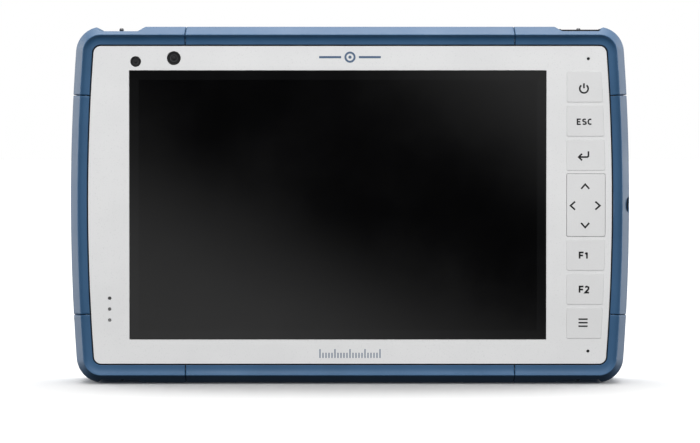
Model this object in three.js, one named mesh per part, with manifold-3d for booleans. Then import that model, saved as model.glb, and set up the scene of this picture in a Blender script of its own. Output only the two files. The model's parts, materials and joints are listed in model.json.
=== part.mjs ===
// Rugged seven-inch survey data collector, standing upright on its bottom edge.
// Millimetres, +X to the right as the user sees it, +Y away from the user, +Z up.
// The origin is the centre of the bottom edge. The pieces are drawn about the middle
// of the front, and the whole group is lifted by half the height at the end.

import * as THREE from 'three';
import { mergeVertices } from 'three/addons/utils/BufferGeometryUtils.js';
import Module from 'manifold-3d';

const wasm = await Module();
wasm.setup();

// ---------------------------------------------------------------- driving dimensions

// Envelope
const WIDTH = 215;
const DEPTH = 40;
const HEIGHT = 137;
const SIDE_BOW = 820; // radius of the slightly bowed left and right sides
const CORNER = 10; // radius of the outer corners
const GAP = 0.3; // clearance between neighbouring pieces

// Bumper ring section: insets from the outer outline, and where the pieces part
const BEVEL = 3.3; // width of the outer bevel, seen from the front
const BEVEL_DEPTH = 7.5; // how far the bevel reaches back
const CREST_INNER = 4.2;
const BUMPER_WALL = 4.7;
const LIP_INNER = 6.7;
const SPLIT_X = 63.1;
const SPLIT_Z = 42.2;
const SPLIT_GAP = 0.3;

// Housing shells
const HOUSING_INSET = BUMPER_WALL + GAP;
const CAVITY_INSET = HOUSING_INSET + 2.5;
const CHASSIS_FRONT = -17;
const CHASSIS_BACK = -8.3;
const SHELL_FRONT = -6.9;
const SHELL_BACK = 18.6;
const SHELL_WALL = 2.5;
const OVERLAY_FRONT = -18.6;
const OVERLAY_BACK = CHASSIS_FRONT - GAP;
const OVERLAY_INSET = LIP_INNER + GAP;

// Display
const WINDOW_WIDTH = 160.1;
const WINDOW_HEIGHT = 103.5;
const WINDOW_CENTRE_X = -4.67;
const GLASS_FRONT = -18.4;
const LCD_FRONT = -16.6;
const LCD_BACK = -13.6;
const TRAY_BACK = -10.9;
const DISPLAY_POCKET_BACK = -10.6;

// Keys
const KEY_LEFT = 83;
const KEY_INSET = 9.65; // from the bowed outer side to the keys' right edges
const KEY_HEIGHT = 12.1;
const KEY_SPACING = 0.95;
const PAD_HEIGHT = 24.3;
const KEY_FRONT = -18.75;
const KEY_BACK = -14.4;
const KEY_CORNER = 0.9;
const KEY_CLEARANCE = 0.25;
const KEYBOARD_FRONT = -13.3;
const KEYBOARD_BACK = -12.5;

const PAD_CENTRE_X = 90.7;
const PIVOT_RADIUS = 2;
const KEYBOARD_X = [82, 98.6];
const KEYBOARD_HALF = 53;

// Small front features
const CAMERA_AT = { x: -67.4, z: 56.2, radius: 2.5 };
const SENSOR_AT = { x: -82, z: 54.9, radius: 1.9 };
const LIGHTS_AT = { x: -92.1, top: -35.7, pitch: 4.2, radius: 0.6 };
const MIC_AT = { x: 91.2, z: 56, radius: 0.55 };

const MIC_CAN = { radius: 1.6, y: [-16.9, -14.6] };

// Strap notches in the corner bumpers, measured from the middle of the unit
const NOTCH = { inner: 79.2, floorInner: 81.9, floorOuter: 95.7, outer: 97.1, top: 1.9, bottom: 1.35 };
const STRAP_PIN = { x: 88.4, radius: 0.95, shy: 0.15, y: -4 };
const RAIL_RECESS = { halfWidth: 43.25, depth: 0.3 };
const FINGER_SCOOP = { depth: 1.7, reach: 2.9, halfHeight: 3.4, y: -14.2 };

// Battery bay and door, at the back
const BAY_HALF_WIDTH = 47;
const BAY_TOP = 33;
const BAY_BOTTOM = -37.7;
const BAY_WALL = 2.6;
const BAY_FLOOR_FRONT = 0.6;
const BAY_FLOOR_BACK = 2.2;
const DOOR_INNER = 16.3;
const DOOR_EDGE_GAP = 0.4;
const DOOR_HINGE = { y: 16.8, z: -34.8, barrel: 1.6, bore: 0.95, pin: 0.85 };
const DOOR_KNUCKLE = 10;
const DOOR_PIN_HALF = 33;
const GASKET = { width: 2, thickness: 0.5 };
const LATCH = {
  x: 32,
  z: 26,
  head: 5.5,
  shaft: 2,
  seat: 17.4,
  top: 19.4,
  camReach: 8.6,
  camWidth: 4,
  camSweep: 7, // how far to the cam's side its pocket reaches
  gripDepth: 1.2,
  gripHalf: 1.4,
};
const CAM_FRONT = 14.3;
const CAM_BACK = 15.2;

// Port bay and door, in the right side
const PORT_HALF_HEIGHT = 25;
const PORT_FRONT = -5.6;
const PORT_BACK = 8.6;
const PORT_FLOOR = 92.6;
const PORT_WALL = 1.2;
const PORT_DOOR = { front: -7.6, back: 10.2, halfHeight: 27.6, thickness: 2.2 };
const PORT_HINGE = { x: 105.6, y: 11.8, barrel: 1.25, bore: 0.7, pin: 0.6, swing: 3 };
const PORT_KNUCKLE = [-12, 12]; // the rail's own knuckle, between the door's two
const PORT_PIN_HALF = 27;
const SOCKET_Y = 1.5;
const SOCKET_X = [85, 95];

// Inside
const BOARD = { front: -4, back: -2.4, halfWidth: 86, bottom: -50, top: 36 };
const POST = { x: 92, z: 56, radius: 3.2, bore: 1.6 };
const SCREW = { head: 2.4, shank: 1.25, socket: 1.1, seat: 17, top: 18.4, tip: 4 };
const SEAL = { outer: 5.4, inner: 7.1 };
const CABLE_SLOT = { x: [-30, -10], z: [-48, -44] };
const BATTERY = { x: [-45, 45], y: [2.8, 13.9], z: [-31.5, 31.5] };
const CONTACTS = { x: [-10, 10], z: [-30, -24] };
const SHIELD = { x: [-40, 20], z: [-30, 10] };
const PATCH = { x: [-19, -1], y: [-2, 2], z: [38, 56] };
const STRIP = { x: [20, 60], y: [-2, 10], z: [59.4, 60] };
const REAR_WINDOW = { x: -66, z: 47, width: 24, height: 13 };
const SPEAKER = { x: 60, z: 47 };
const SIGNS = [-1, 1];

const HALF_WIDTH = WIDTH / 2;
const HALF_HEIGHT = HEIGHT / 2;
const FRONT = -DEPTH / 2;
const BACK = DEPTH / 2;

// ---------------------------------------------------------------- materials

function finish(colour, roughness, metalness = 0) {
  return new THREE.MeshStandardMaterial({ color: colour, roughness, metalness });
}

const BUMPER_BLUE = finish(0x3d6288, 0.6);
const OVERLAY_GREY = finish(0xdedede, 0.55);
const KEY_GREY = finish(0xe4e4e4, 0.5);
const DISPLAY_BLACK = finish(0x0c0d0f, 0.12);
const SHELL_BLACK = finish(0x2a2c2f, 0.7);
const SEAL_BLACK = finish(0x151515, 0.85);
const MAGNESIUM = finish(0x8d9094, 0.5, 0.8);
const STEEL = finish(0xb4b6b8, 0.35, 1);
const BOARD_GREEN = finish(0x1f5a3c, 0.5);
const LENS_BLACK = finish(0x07080a, 0.08);
const PIPE_GREY = finish(0x8c8f93, 0.35);
const BATTERY_GREY = finish(0x3a3d42, 0.6);
const ANTENNA_TAN = finish(0xc9b48a, 0.6);

// ---------------------------------------------------------------- solids

function toSolid(geometry) {
  const bare = geometry.clone();
  bare.deleteAttribute('normal');
  bare.deleteAttribute('uv');
  const merged = mergeVertices(bare, 1e-4);
  const mesh = new wasm.Mesh({
    numProp: 3,
    vertProperties: new Float32Array(merged.attributes.position.array),
    triVerts: new Uint32Array(merged.index.array),
  });
  return new wasm.Manifold(mesh);
}

function toGeometry(solid) {
  const mesh = solid.getMesh();
  const geometry = new THREE.BufferGeometry();
  geometry.setAttribute('position', new THREE.BufferAttribute(new Float32Array(mesh.vertProperties), 3));
  geometry.setIndex(new THREE.BufferAttribute(new Uint32Array(mesh.triVerts), 1));
  geometry.computeVertexNormals();
  return geometry;
}

function cut(geometry, tools) {
  return toGeometry(tools.reduce((solid, tool) => solid.subtract(toSolid(tool)), toSolid(geometry)));
}

function join(geometries) {
  const [first, ...rest] = geometries.map(toSolid);
  return toGeometry(rest.reduce((solid, other) => solid.add(other), first));
}

function box([x0, x1], [y0, y1], [z0, z1]) {
  const geometry = new THREE.BoxGeometry(x1 - x0, y1 - y0, z1 - z0);
  geometry.translate((x0 + x1) / 2, (y0 + y1) / 2, (z0 + z1) / 2);
  return geometry;
}

// A round bar between two positions along one axis, centred on the other two.
function rodX(radius, [x0, x1], y, z, sides = 16) {
  const geometry = new THREE.CylinderGeometry(radius, radius, x1 - x0, sides);
  geometry.rotateZ(Math.PI / 2);
  geometry.translate((x0 + x1) / 2, y, z);
  return geometry;
}

function rodY(radius, x, [y0, y1], z, sides = 16) {
  const geometry = new THREE.CylinderGeometry(radius, radius, y1 - y0, sides);
  geometry.translate(x, (y0 + y1) / 2, z);
  return geometry;
}

function rodZ(radius, x, y, [z0, z1], sides = 16) {
  const geometry = new THREE.CylinderGeometry(radius, radius, z1 - z0, sides);
  geometry.rotateX(Math.PI / 2);
  geometry.translate(x, y, (z0 + z1) / 2);
  return geometry;
}

// A flat outline in X and Z, given depth from y0 back to y1.
function slab(shape, [y0, y1], curveSegments = 4) {
  const settings = { depth: y1 - y0, bevelEnabled: false, curveSegments };
  const geometry = new THREE.ExtrudeGeometry(shape, settings);
  geometry.rotateX(Math.PI / 2);
  geometry.translate(0, y1, 0);
  return geometry;
}

// A polygon whose corners are rounded by a quadratic curve of the given reach.
function roundedPolygon(corners, radius) {
  const shape = new THREE.Shape();
  corners.forEach((corner, i) => {
    const before = corners[(i + corners.length - 1) % corners.length];
    const after = corners[(i + 1) % corners.length];
    const enter = corner.clone().add(before.clone().sub(corner).setLength(radius));
    const leave = corner.clone().add(after.clone().sub(corner).setLength(radius));
    if (i === 0) {
      shape.moveTo(enter.x, enter.y);
    } else {
      shape.lineTo(enter.x, enter.y);
    }
    shape.quadraticCurveTo(corner.x, corner.y, leave.x, leave.y);
  });
  shape.closePath();
  return shape;
}

function roundedRectangle([x0, x1], [z0, z1], radius) {
  const corners = [[x0, z0], [x1, z0], [x1, z1], [x0, z1]];
  return roundedPolygon(corners.map(([x, z]) => new THREE.Vector2(x, z)), radius);
}

// ---------------------------------------------------------------- the bowed outline

// A station is a point of the outer outline and its outward direction.
const BOW_CENTRE = HALF_WIDTH - SIDE_BOW;
const FILLET_Z = HALF_HEIGHT - CORNER;
const FILLET_X = BOW_CENTRE + Math.sqrt((SIDE_BOW - CORNER) ** 2 - FILLET_Z ** 2);
const FILLET_START = Math.atan2(FILLET_Z, FILLET_X - BOW_CENTRE);

function bowStation(angle) {
  const nx = Math.cos(angle);
  const nz = Math.sin(angle);
  return { x: BOW_CENTRE + SIDE_BOW * nx, z: SIDE_BOW * nz, nx, nz };
}

function bowStations(z0, z1, steps) {
  const first = Math.asin(z0 / SIDE_BOW);
  const last = Math.asin(z1 / SIDE_BOW);
  return Array.from({ length: steps + 1 }, (_, i) => bowStation(first + ((last - first) * i) / steps));
}

function filletStations(steps) {
  return Array.from({ length: steps + 1 }, (_, i) => {
    const angle = FILLET_START + ((Math.PI / 2 - FILLET_START) * i) / steps;
    const nx = Math.cos(angle);
    const nz = Math.sin(angle);
    return { x: FILLET_X + CORNER * nx, z: FILLET_Z + CORNER * nz, nx, nz };
  });
}

function topStation(x) {
  return { x, z: HALF_HEIGHT, nx: 0, nz: 1 };
}

function mirrored(stations, signX, signZ) {
  const turned = stations.map(({ x, z, nx, nz }) => ({
    x: x * signX,
    z: z * signZ,
    nx: nx * signX,
    nz: nz * signZ,
  }));
  return signX * signZ < 0 ? turned.reverse() : turned;
}

// The whole outline at one inset, as a flat shape.
function outline(inset) {
  const quarter = [...bowStations(0, SIDE_BOW * Math.sin(FILLET_START), 4), ...filletStations(5).slice(1)];
  const loop = [
    ...quarter,
    ...mirrored(quarter, -1, 1),
    ...mirrored(quarter, -1, -1),
    ...mirrored(quarter, 1, -1),
  ];
  const points = loop.map(({ x, z, nx, nz }) => new THREE.Vector2(x - inset * nx, z - inset * nz));
  const distinct = points.filter((point, i) => point.distanceTo(points[(i + 1) % points.length]) > 1e-3);
  return new THREE.Shape(distinct);
}

function frame(outerInset, innerInset, span) {
  const shape = outline(outerInset);
  shape.holes.push(new THREE.Path(outline(innerInset).getPoints()));
  return slab(shape, span);
}

// Carries a closed section of [inset, y] points along a run of stations.
function sweep(stations, section) {
  const contour = section.map(([inset, y]) => new THREE.Vector2(inset, y));
  if (THREE.ShapeUtils.isClockWise(contour)) {
    contour.reverse();
  }
  const positions = stations.flatMap(({ x, z, nx, nz }) =>
    contour.flatMap((point) => [x - point.x * nx, point.y, z - point.x * nz]));
  const count = contour.length;
  const indices = [];
  for (let i = 0; i + 1 < stations.length; i += 1) {
    for (let j = 0; j < count; j += 1) {
      const next = (j + 1) % count;
      const here = i * count;
      const there = here + count;
      indices.push(here + j, here + next, there + next, here + j, there + next, there + j);
    }
  }
  const last = (stations.length - 1) * count;
  for (const [a, b, c] of THREE.ShapeUtils.triangulateShape(contour, [])) {
    indices.push(a, c, b, last + a, last + b, last + c);
  }
  const geometry = new THREE.BufferGeometry();
  geometry.setAttribute('position', new THREE.Float32BufferAttribute(positions, 3));
  geometry.setIndex(facingOut(positions, indices));
  return geometry;
}

// Reverses every triangle if the enclosed volume comes out negative.
function facingOut(positions, indices) {
  const point = (i) => new THREE.Vector3().fromArray(positions, i * 3);
  let volume = 0;
  for (let i = 0; i < indices.length; i += 3) {
    volume += point(indices[i]).dot(point(indices[i + 1]).cross(point(indices[i + 2])));
  }
  return volume < 0 ? indices.reverse() : indices;
}

// ---------------------------------------------------------------- assembly

const collector = new THREE.Group();
collector.name = 'data_collector';
collector.position.z = HALF_HEIGHT;

function add(name, geometry, material) {
  const mesh = new THREE.Mesh(geometry, material);
  mesh.name = name;
  collector.add(mesh);
}

function outerX(z) {
  return BOW_CENTRE + Math.sqrt(SIDE_BOW ** 2 - z ** 2);
}

// ---------------------------------------------------------------- bumper ring

// The section wraps round the housing edge like a C, open towards the inside.
const bumperSection = [
  [0, -DEPTH / 2 + BEVEL_DEPTH],
  [BEVEL, FRONT],
  [CREST_INNER, FRONT],
  [LIP_INNER, OVERLAY_FRONT - GAP],
  [LIP_INNER, OVERLAY_BACK],
  [BUMPER_WALL, OVERLAY_BACK],
  [BUMPER_WALL, SHELL_BACK + GAP],
  [LIP_INNER, SHELL_BACK + GAP],
  [LIP_INNER, BACK],
  [BEVEL, BACK],
  [0, DEPTH / 2 - BEVEL_DEPTH],
];

function strapNotch(signX, signZ, depth) {
  const floor = HALF_HEIGHT - depth;
  const clear = HALF_HEIGHT + 1;
  const profile = [
    [NOTCH.inner, HALF_HEIGHT],
    [NOTCH.floorInner, floor],
    [NOTCH.floorOuter, floor],
    [NOTCH.outer, HALF_HEIGHT],
    [NOTCH.outer, clear],
    [NOTCH.inner, clear],
  ];
  const points = profile.map(([x, z]) => new THREE.Vector2(x * signX, z * signZ));
  return slab(new THREE.Shape(points), [FRONT - 1, BACK + 1]);
}

function addCorner(name, signX, signZ) {
  const notchDepth = signZ > 0 ? NOTCH.top : NOTCH.bottom;
  const quarter = [
    ...bowStations(SPLIT_Z + SPLIT_GAP / 2, SIDE_BOW * Math.sin(FILLET_START), 2),
    ...filletStations(6).slice(1),
    topStation(SPLIT_X + SPLIT_GAP / 2),
  ];
  const bumper = sweep(mirrored(quarter, signX, signZ), bumperSection);
  const pinX = signX * STRAP_PIN.x;
  const pinInner = HALF_HEIGHT - BUMPER_WALL;
  const pinOuter = HALF_HEIGHT - STRAP_PIN.shy;
  const pinSpan = signZ > 0 ? [pinInner, pinOuter] : [-pinOuter, -pinInner];
  const boreSpan = [pinSpan[0] - 2, pinSpan[1] + 2];
  const bore = rodZ(STRAP_PIN.radius + GAP, pinX, STRAP_PIN.y, boreSpan, 12);
  add(`corner_bumper_${name}`, cut(bumper, [strapNotch(signX, signZ, notchDepth), bore]), BUMPER_BLUE);
  add(`strap_pin_${name}`, rodZ(STRAP_PIN.radius, pinX, STRAP_PIN.y, pinSpan, 12), STEEL);
}

function flatRail(signZ) {
  const span = SPLIT_X - SPLIT_GAP / 2;
  return sweep(mirrored([topStation(span), topStation(-span)], 1, signZ), bumperSection);
}

function sideRail(signX) {
  const span = SPLIT_Z - SPLIT_GAP / 2;
  return sweep(mirrored(bowStations(-span, span, 6), signX, 1), bumperSection);
}

// A closed patch of the right side between two insets, two depths and two heights.
function sidePatch(insets, depths, halfHeight) {
  const section = [
    [insets[0], depths[0]],
    [insets[1], depths[0]],
    [insets[1], depths[1]],
    [insets[0], depths[1]],
  ];
  return sweep(bowStations(-halfHeight, halfHeight, 4), section);
}

function addRails() {
  add('rail_top', flatRail(1), BUMPER_BLUE);
  const groove = box([-RAIL_RECESS.halfWidth, RAIL_RECESS.halfWidth], [FRONT - 1, BACK + 1],
    [-HALF_HEIGHT - 1, -HALF_HEIGHT + RAIL_RECESS.depth]);
  add('rail_bottom', cut(flatRail(-1), [groove]), BUMPER_BLUE);
  add('rail_left', sideRail(-1), BUMPER_BLUE);
  const clearance = DOOR_EDGE_GAP;
  const seat = sidePatch([-1, PORT_DOOR.thickness + GAP],
    [PORT_DOOR.front - clearance, PORT_HINGE.y + PORT_HINGE.swing], PORT_DOOR.halfHeight + clearance);
  const mouth = box([PORT_FLOOR, HALF_WIDTH + 1], [PORT_FRONT, PORT_BACK], [-PORT_HALF_HEIGHT, PORT_HALF_HEIGHT]);
  const hinge = box([PORT_HINGE.x - PORT_HINGE.barrel - GAP, HALF_WIDTH + 1],
    [PORT_DOOR.back - GAP, PORT_HINGE.y + PORT_HINGE.barrel + GAP], [-PORT_DOOR.halfHeight, PORT_DOOR.halfHeight]);
  const scoop = new THREE.SphereGeometry(1, 16, 10);
  scoop.scale(FINGER_SCOOP.depth, FINGER_SCOOP.reach, FINGER_SCOOP.halfHeight);
  scoop.translate(HALF_WIDTH, FINGER_SCOOP.y, 0);
  const [low, high] = PORT_KNUCKLE;
  const lug = join([
    rodZ(PORT_HINGE.barrel, PORT_HINGE.x, PORT_HINGE.y, [low + GAP, high - GAP]),
    box([PORT_HINGE.x - PORT_HINGE.barrel - 1, PORT_HINGE.x], [PORT_HINGE.y - 0.6, PORT_HINGE.y + 0.6],
      [low + GAP, high - GAP]),
  ]);
  const pinBore = rodZ(PORT_HINGE.bore, PORT_HINGE.x, PORT_HINGE.y, [-PORT_PIN_HALF - GAP, PORT_PIN_HALF + GAP], 12);
  const opened = cut(sideRail(1), [seat, mouth, hinge, scoop]);
  add('rail_right', cut(join([opened, lug]), [pinBore]), BUMPER_BLUE);
}

// ---------------------------------------------------------------- port door

function addPortDoor() {
  const panel = sidePatch([0, PORT_DOOR.thickness], [PORT_DOOR.front, PORT_DOOR.back], PORT_DOOR.halfHeight);
  const [low, high] = PORT_KNUCKLE;
  const end = PORT_DOOR.halfHeight - GAP;
  const knuckles = [[-end, low], [high, end]].flatMap((span) => [
    rodZ(PORT_HINGE.barrel, PORT_HINGE.x, PORT_HINGE.y, span),
    box([PORT_HINGE.x - 0.6, PORT_HINGE.x + 0.6], [PORT_DOOR.back - 1, PORT_HINGE.y], span),
  ]);
  const bore = rodZ(PORT_HINGE.bore, PORT_HINGE.x, PORT_HINGE.y, [-end - 1, end + 1], 12);
  add('port_door', cut(join([panel, ...knuckles]), [bore]), BUMPER_BLUE);
  add('port_door_pin', rodZ(PORT_HINGE.pin, PORT_HINGE.x, PORT_HINGE.y, [-PORT_PIN_HALF, PORT_PIN_HALF], 12), STEEL);
}

// ---------------------------------------------------------------- keys

function keyOutline([z0, z1], margin) {
  const right = (z) => outerX(z) - KEY_INSET + margin;
  const low = z0 - margin;
  const high = z1 + margin;
  const corners = [[KEY_LEFT - margin, low], [right(low), low], [right(high), high], [KEY_LEFT - margin, high]];
  return roundedPolygon(corners.map(([x, z]) => new THREE.Vector2(x, z)), KEY_CORNER);
}

// The place of a key in the column, counted outwards from the four-way pad.
function keySpan(step) {
  const pitch = KEY_HEIGHT + KEY_SPACING;
  const middle = Math.sign(step) * (PAD_HEIGHT / 2 - KEY_HEIGHT / 2 + Math.abs(step) * pitch);
  return [middle - KEY_HEIGHT / 2, middle + KEY_HEIGHT / 2];
}

const PAD_SPAN = [-PAD_HEIGHT / 2, PAD_HEIGHT / 2];
const KEYS = { key_power: 3, key_escape: 2, key_enter: 1, key_f1: -1, key_f2: -2, key_menu: -3 };

function addKeys() {
  for (const [name, step] of Object.entries(KEYS)) {
    add(name, slab(keyOutline(keySpan(step), 0), [KEY_FRONT, KEY_BACK], 2), KEY_GREY);
  }
  add('key_pad', slab(keyOutline(PAD_SPAN, 0), [KEY_FRONT, KEY_BACK], 2), KEY_GREY);
  add('key_pad_pivot', rodY(PIVOT_RADIUS, PAD_CENTRE_X, [KEY_BACK + GAP, KEYBOARD_FRONT - GAP], 0, 12), STEEL);
  add('keypad_board', box(KEYBOARD_X, [KEYBOARD_FRONT, KEYBOARD_BACK], [-KEYBOARD_HALF, KEYBOARD_HALF]), BOARD_GREEN);
}

// ---------------------------------------------------------------- front overlay and display

function windowEdges(margin) {
  const halfWidth = WINDOW_WIDTH / 2 + margin;
  const halfHeight = WINDOW_HEIGHT / 2 + margin;
  return {
    x: [WINDOW_CENTRE_X - halfWidth, WINDOW_CENTRE_X + halfWidth],
    z: [-halfHeight, halfHeight],
  };
}

function windowBlock(margin, depths) {
  const edges = windowEdges(margin);
  return box(edges.x, depths, edges.z);
}

function lightHeights() {
  return [0, 1, 2].map((i) => LIGHTS_AT.top - i * LIGHTS_AT.pitch);
}

// One bore for each small round thing in the front, with the given clearance.
function frontBores(clearance, depths) {
  const bores = [
    rodY(CAMERA_AT.radius + clearance, CAMERA_AT.x, depths, CAMERA_AT.z),
    rodY(SENSOR_AT.radius + clearance, SENSOR_AT.x, depths, SENSOR_AT.z),
  ];
  for (const z of lightHeights()) {
    bores.push(rodY(LIGHTS_AT.radius + clearance, LIGHTS_AT.x, depths, z, 10));
  }
  return bores;
}

function addOverlay() {
  const beyond = [OVERLAY_FRONT - 1, OVERLAY_BACK + 1];
  const spans = [...Object.values(KEYS).map(keySpan), PAD_SPAN];
  const cuts = [
    windowBlock(0, beyond),
    ...frontBores(GAP / 2, beyond),
    ...spans.map((span) => slab(keyOutline(span, KEY_CLEARANCE), beyond, 2)),
    rodY(MIC_AT.radius, MIC_AT.x, beyond, MIC_AT.z, 10),
    rodY(MIC_AT.radius, MIC_AT.x, beyond, -MIC_AT.z, 10),
  ];
  add('front_overlay', cut(slab(outline(OVERLAY_INSET), [OVERLAY_FRONT, OVERLAY_BACK]), cuts), OVERLAY_GREY);
}

function addDisplay() {
  add('cover_glass', windowBlock(-GAP, [GLASS_FRONT, OVERLAY_BACK]), DISPLAY_BLACK);
  const seal = cut(windowBlock(1.2, [CHASSIS_FRONT, LCD_BACK]), [windowBlock(0, [CHASSIS_FRONT - 1, LCD_BACK + 1])]);
  add('display_gasket', seal, SEAL_BLACK);
  add('lcd_panel', windowBlock(-GAP, [LCD_FRONT, LCD_BACK]), DISPLAY_BLACK);
  const tray = cut(windowBlock(-GAP, [LCD_BACK + GAP, TRAY_BACK]),
    [windowBlock(-4, [LCD_BACK, TRAY_BACK - 0.8])]);
  add('backlight_tray', tray, STEEL);
}

// Parts that sit behind the small holes in the overlay.
function addFrontSensors() {
  const reach = [GLASS_FRONT, CHASSIS_BACK - 2];
  add('front_camera', rodY(CAMERA_AT.radius, CAMERA_AT.x, reach, CAMERA_AT.z), LENS_BLACK);
  add('light_sensor', rodY(SENSOR_AT.radius, SENSOR_AT.x, reach, SENSOR_AT.z), LENS_BLACK);
  lightHeights().forEach((z, i) => {
    add(`light_pipe_${i + 1}`, rodY(LIGHTS_AT.radius, LIGHTS_AT.x, reach, z, 10), PIPE_GREY);
  });
  for (const [name, sign] of [['top', 1], ['bottom', -1]]) {
    add(`microphone_${name}`, rodY(MIC_CAN.radius, MIC_AT.x, MIC_CAN.y, sign * MIC_AT.z, 12), STEEL);
  }
}

// ---------------------------------------------------------------- housing

function postBores(depths) {
  return SIGNS.flatMap((x) => SIGNS.map((z) => rodY(POST.bore, x * POST.x, depths, z * POST.z, 12)));
}

function addChassis() {
  const body = slab(outline(HOUSING_INSET), [CHASSIS_FRONT, CHASSIS_BACK]);
  const posts = SIGNS.flatMap((x) => SIGNS.map((z) =>
    rodY(POST.radius, x * POST.x, [CHASSIS_BACK - 1, SHELL_BACK - SHELL_WALL - GAP], z * POST.z, 12)));
  const beyond = [CHASSIS_FRONT - 1, CHASSIS_BACK + 1];
  const micPocket = (sign) => rodY(MIC_CAN.radius + GAP, MIC_AT.x,
    [CHASSIS_FRONT - 1, MIC_CAN.y[1] + GAP], sign * MIC_AT.z, 12);
  const keypad = box([KEYBOARD_X[0] - GAP, KEYBOARD_X[1] + GAP], [CHASSIS_FRONT - 1, KEYBOARD_BACK + GAP],
    [-KEYBOARD_HALF - GAP, KEYBOARD_HALF + GAP]);
  const cable = box(CABLE_SLOT.x, beyond, CABLE_SLOT.z);
  const pocket = windowBlock(1.2 + GAP, [CHASSIS_FRONT - 1, DISPLAY_POCKET_BACK]);
  const tools = [pocket, cable, keypad, micPocket(1), micPocket(-1)];
  tools.push(...frontBores(GAP, beyond), ...postBores([CHASSIS_BACK, SHELL_BACK]));
  add('front_chassis', cut(join([body, ...posts]), tools), MAGNESIUM);
}

function addShell() {
  const cavityBack = SHELL_BACK - SHELL_WALL;
  const tub = cut(slab(outline(HOUSING_INSET), [SHELL_FRONT, SHELL_BACK]),
    [slab(outline(CAVITY_INSET), [SHELL_FRONT - 1, cavityBack])]);
  const bay = box([-BAY_HALF_WIDTH - BAY_WALL, BAY_HALF_WIDTH + BAY_WALL], [BAY_FLOOR_FRONT, SHELL_BACK - 1],
    [BAY_BOTTOM - BAY_WALL, BAY_TOP + BAY_WALL]);
  const port = box([PORT_FLOOR - PORT_WALL, HALF_WIDTH - HOUSING_INSET - 1],
    [PORT_FRONT - PORT_WALL, PORT_BACK + PORT_WALL], [-PORT_HALF_HEIGHT - PORT_WALL, PORT_HALF_HEIGHT + PORT_WALL]);
  const bayCavity = box([-BAY_HALF_WIDTH, BAY_HALF_WIDTH], [BAY_FLOOR_BACK, BACK], [BAY_BOTTOM, BAY_TOP]);
  const portCavity = box([PORT_FLOOR, HALF_WIDTH], [PORT_FRONT, PORT_BACK], [-PORT_HALF_HEIGHT, PORT_HALF_HEIGHT]);
  const contactSlot = box(CONTACTS.x.map((x) => x + Math.sign(x) * GAP), [0, BAY_FLOOR_BACK + 1],
    [CONTACTS.z[0] - GAP, CONTACTS.z[1] + GAP]);
  const tools = [bayCavity, portCavity, contactSlot, ...socketBores(), ...latchPockets(), ...speakerSlots()];
  tools.push(cameraWindow(GAP, [cavityBack - 1, BACK]));
  tools.push(...SIGNS.flatMap((x) => SIGNS.map((z) =>
    rodY(SCREW.head + GAP, x * POST.x, [SCREW.seat, BACK], z * POST.z, 16))));
  tools.push(...SIGNS.flatMap((x) => SIGNS.map((z) =>
    rodY(POST.bore, x * POST.x, [cavityBack - 1, BACK], z * POST.z, 12))));
  const lug = join([
    rodX(DOOR_HINGE.barrel, [-DOOR_KNUCKLE + GAP, DOOR_KNUCKLE - GAP], DOOR_HINGE.y, DOOR_HINGE.z),
    box([-DOOR_KNUCKLE + GAP, DOOR_KNUCKLE - GAP], [DOOR_HINGE.y - 0.8, DOOR_HINGE.y + 0.8],
      [BAY_BOTTOM - 1, DOOR_HINGE.z]),
  ]);
  const pinBore = rodX(DOOR_HINGE.bore, [-DOOR_PIN_HALF - GAP, DOOR_PIN_HALF + GAP], DOOR_HINGE.y, DOOR_HINGE.z, 12);
  add('rear_shell', cut(join([cut(join([tub, bay, port]), tools), lug]), [pinBore]), SHELL_BLACK);
  add('perimeter_seal', frame(SEAL.outer, SEAL.inner, [CHASSIS_BACK + GAP, SHELL_FRONT - GAP]), SEAL_BLACK);
}

function latchPockets() {
  return SIGNS.map((sign) => {
    const edges = [LATCH.x - LATCH.camSweep, LATCH.x + LATCH.camWidth / 2 + 1].map((x) => sign * x);
    return box(edges.sort((a, b) => a - b), [CAM_FRONT - GAP, CAM_BACK + GAP],
      [BAY_TOP - 1, LATCH.z + LATCH.camReach + 0.4]);
  });
}

function speakerSlots() {
  return [-2, -1, 0, 1, 2].map((i) => slab(
    roundedRectangle([SPEAKER.x + i * 2.6 - 0.6, SPEAKER.x + i * 2.6 + 0.6], [SPEAKER.z - 5, SPEAKER.z + 5], 0.55),
    [SHELL_BACK - SHELL_WALL - 1, BACK], 2));
}

function cameraWindow(margin, depths) {
  const halfWidth = REAR_WINDOW.width / 2 + margin;
  const halfHeight = REAR_WINDOW.height / 2 + margin;
  const shape = roundedRectangle([REAR_WINDOW.x - halfWidth, REAR_WINDOW.x + halfWidth],
    [REAR_WINDOW.z - halfHeight, REAR_WINDOW.z + halfHeight], 3);
  return slab(shape, depths, 4);
}

function addCaseScrews() {
  for (const [side, x] of [['left', -1], ['right', 1]]) {
    for (const [level, z] of [['top', 1], ['bottom', -1]]) {
      const head = rodY(SCREW.head, x * POST.x, [SCREW.seat + GAP, SCREW.top], z * POST.z, 16);
      const shank = rodY(SCREW.shank, x * POST.x, [SCREW.tip, SCREW.seat + GAP + 0.1], z * POST.z, 12);
      const socket = rodY(SCREW.socket, x * POST.x, [SCREW.top - 0.8, BACK], z * POST.z, 6);
      add(`case_screw_${level}_${side}`, cut(join([head, shank]), [socket]), STEEL);
    }
  }
}

// ---------------------------------------------------------------- battery door

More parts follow.
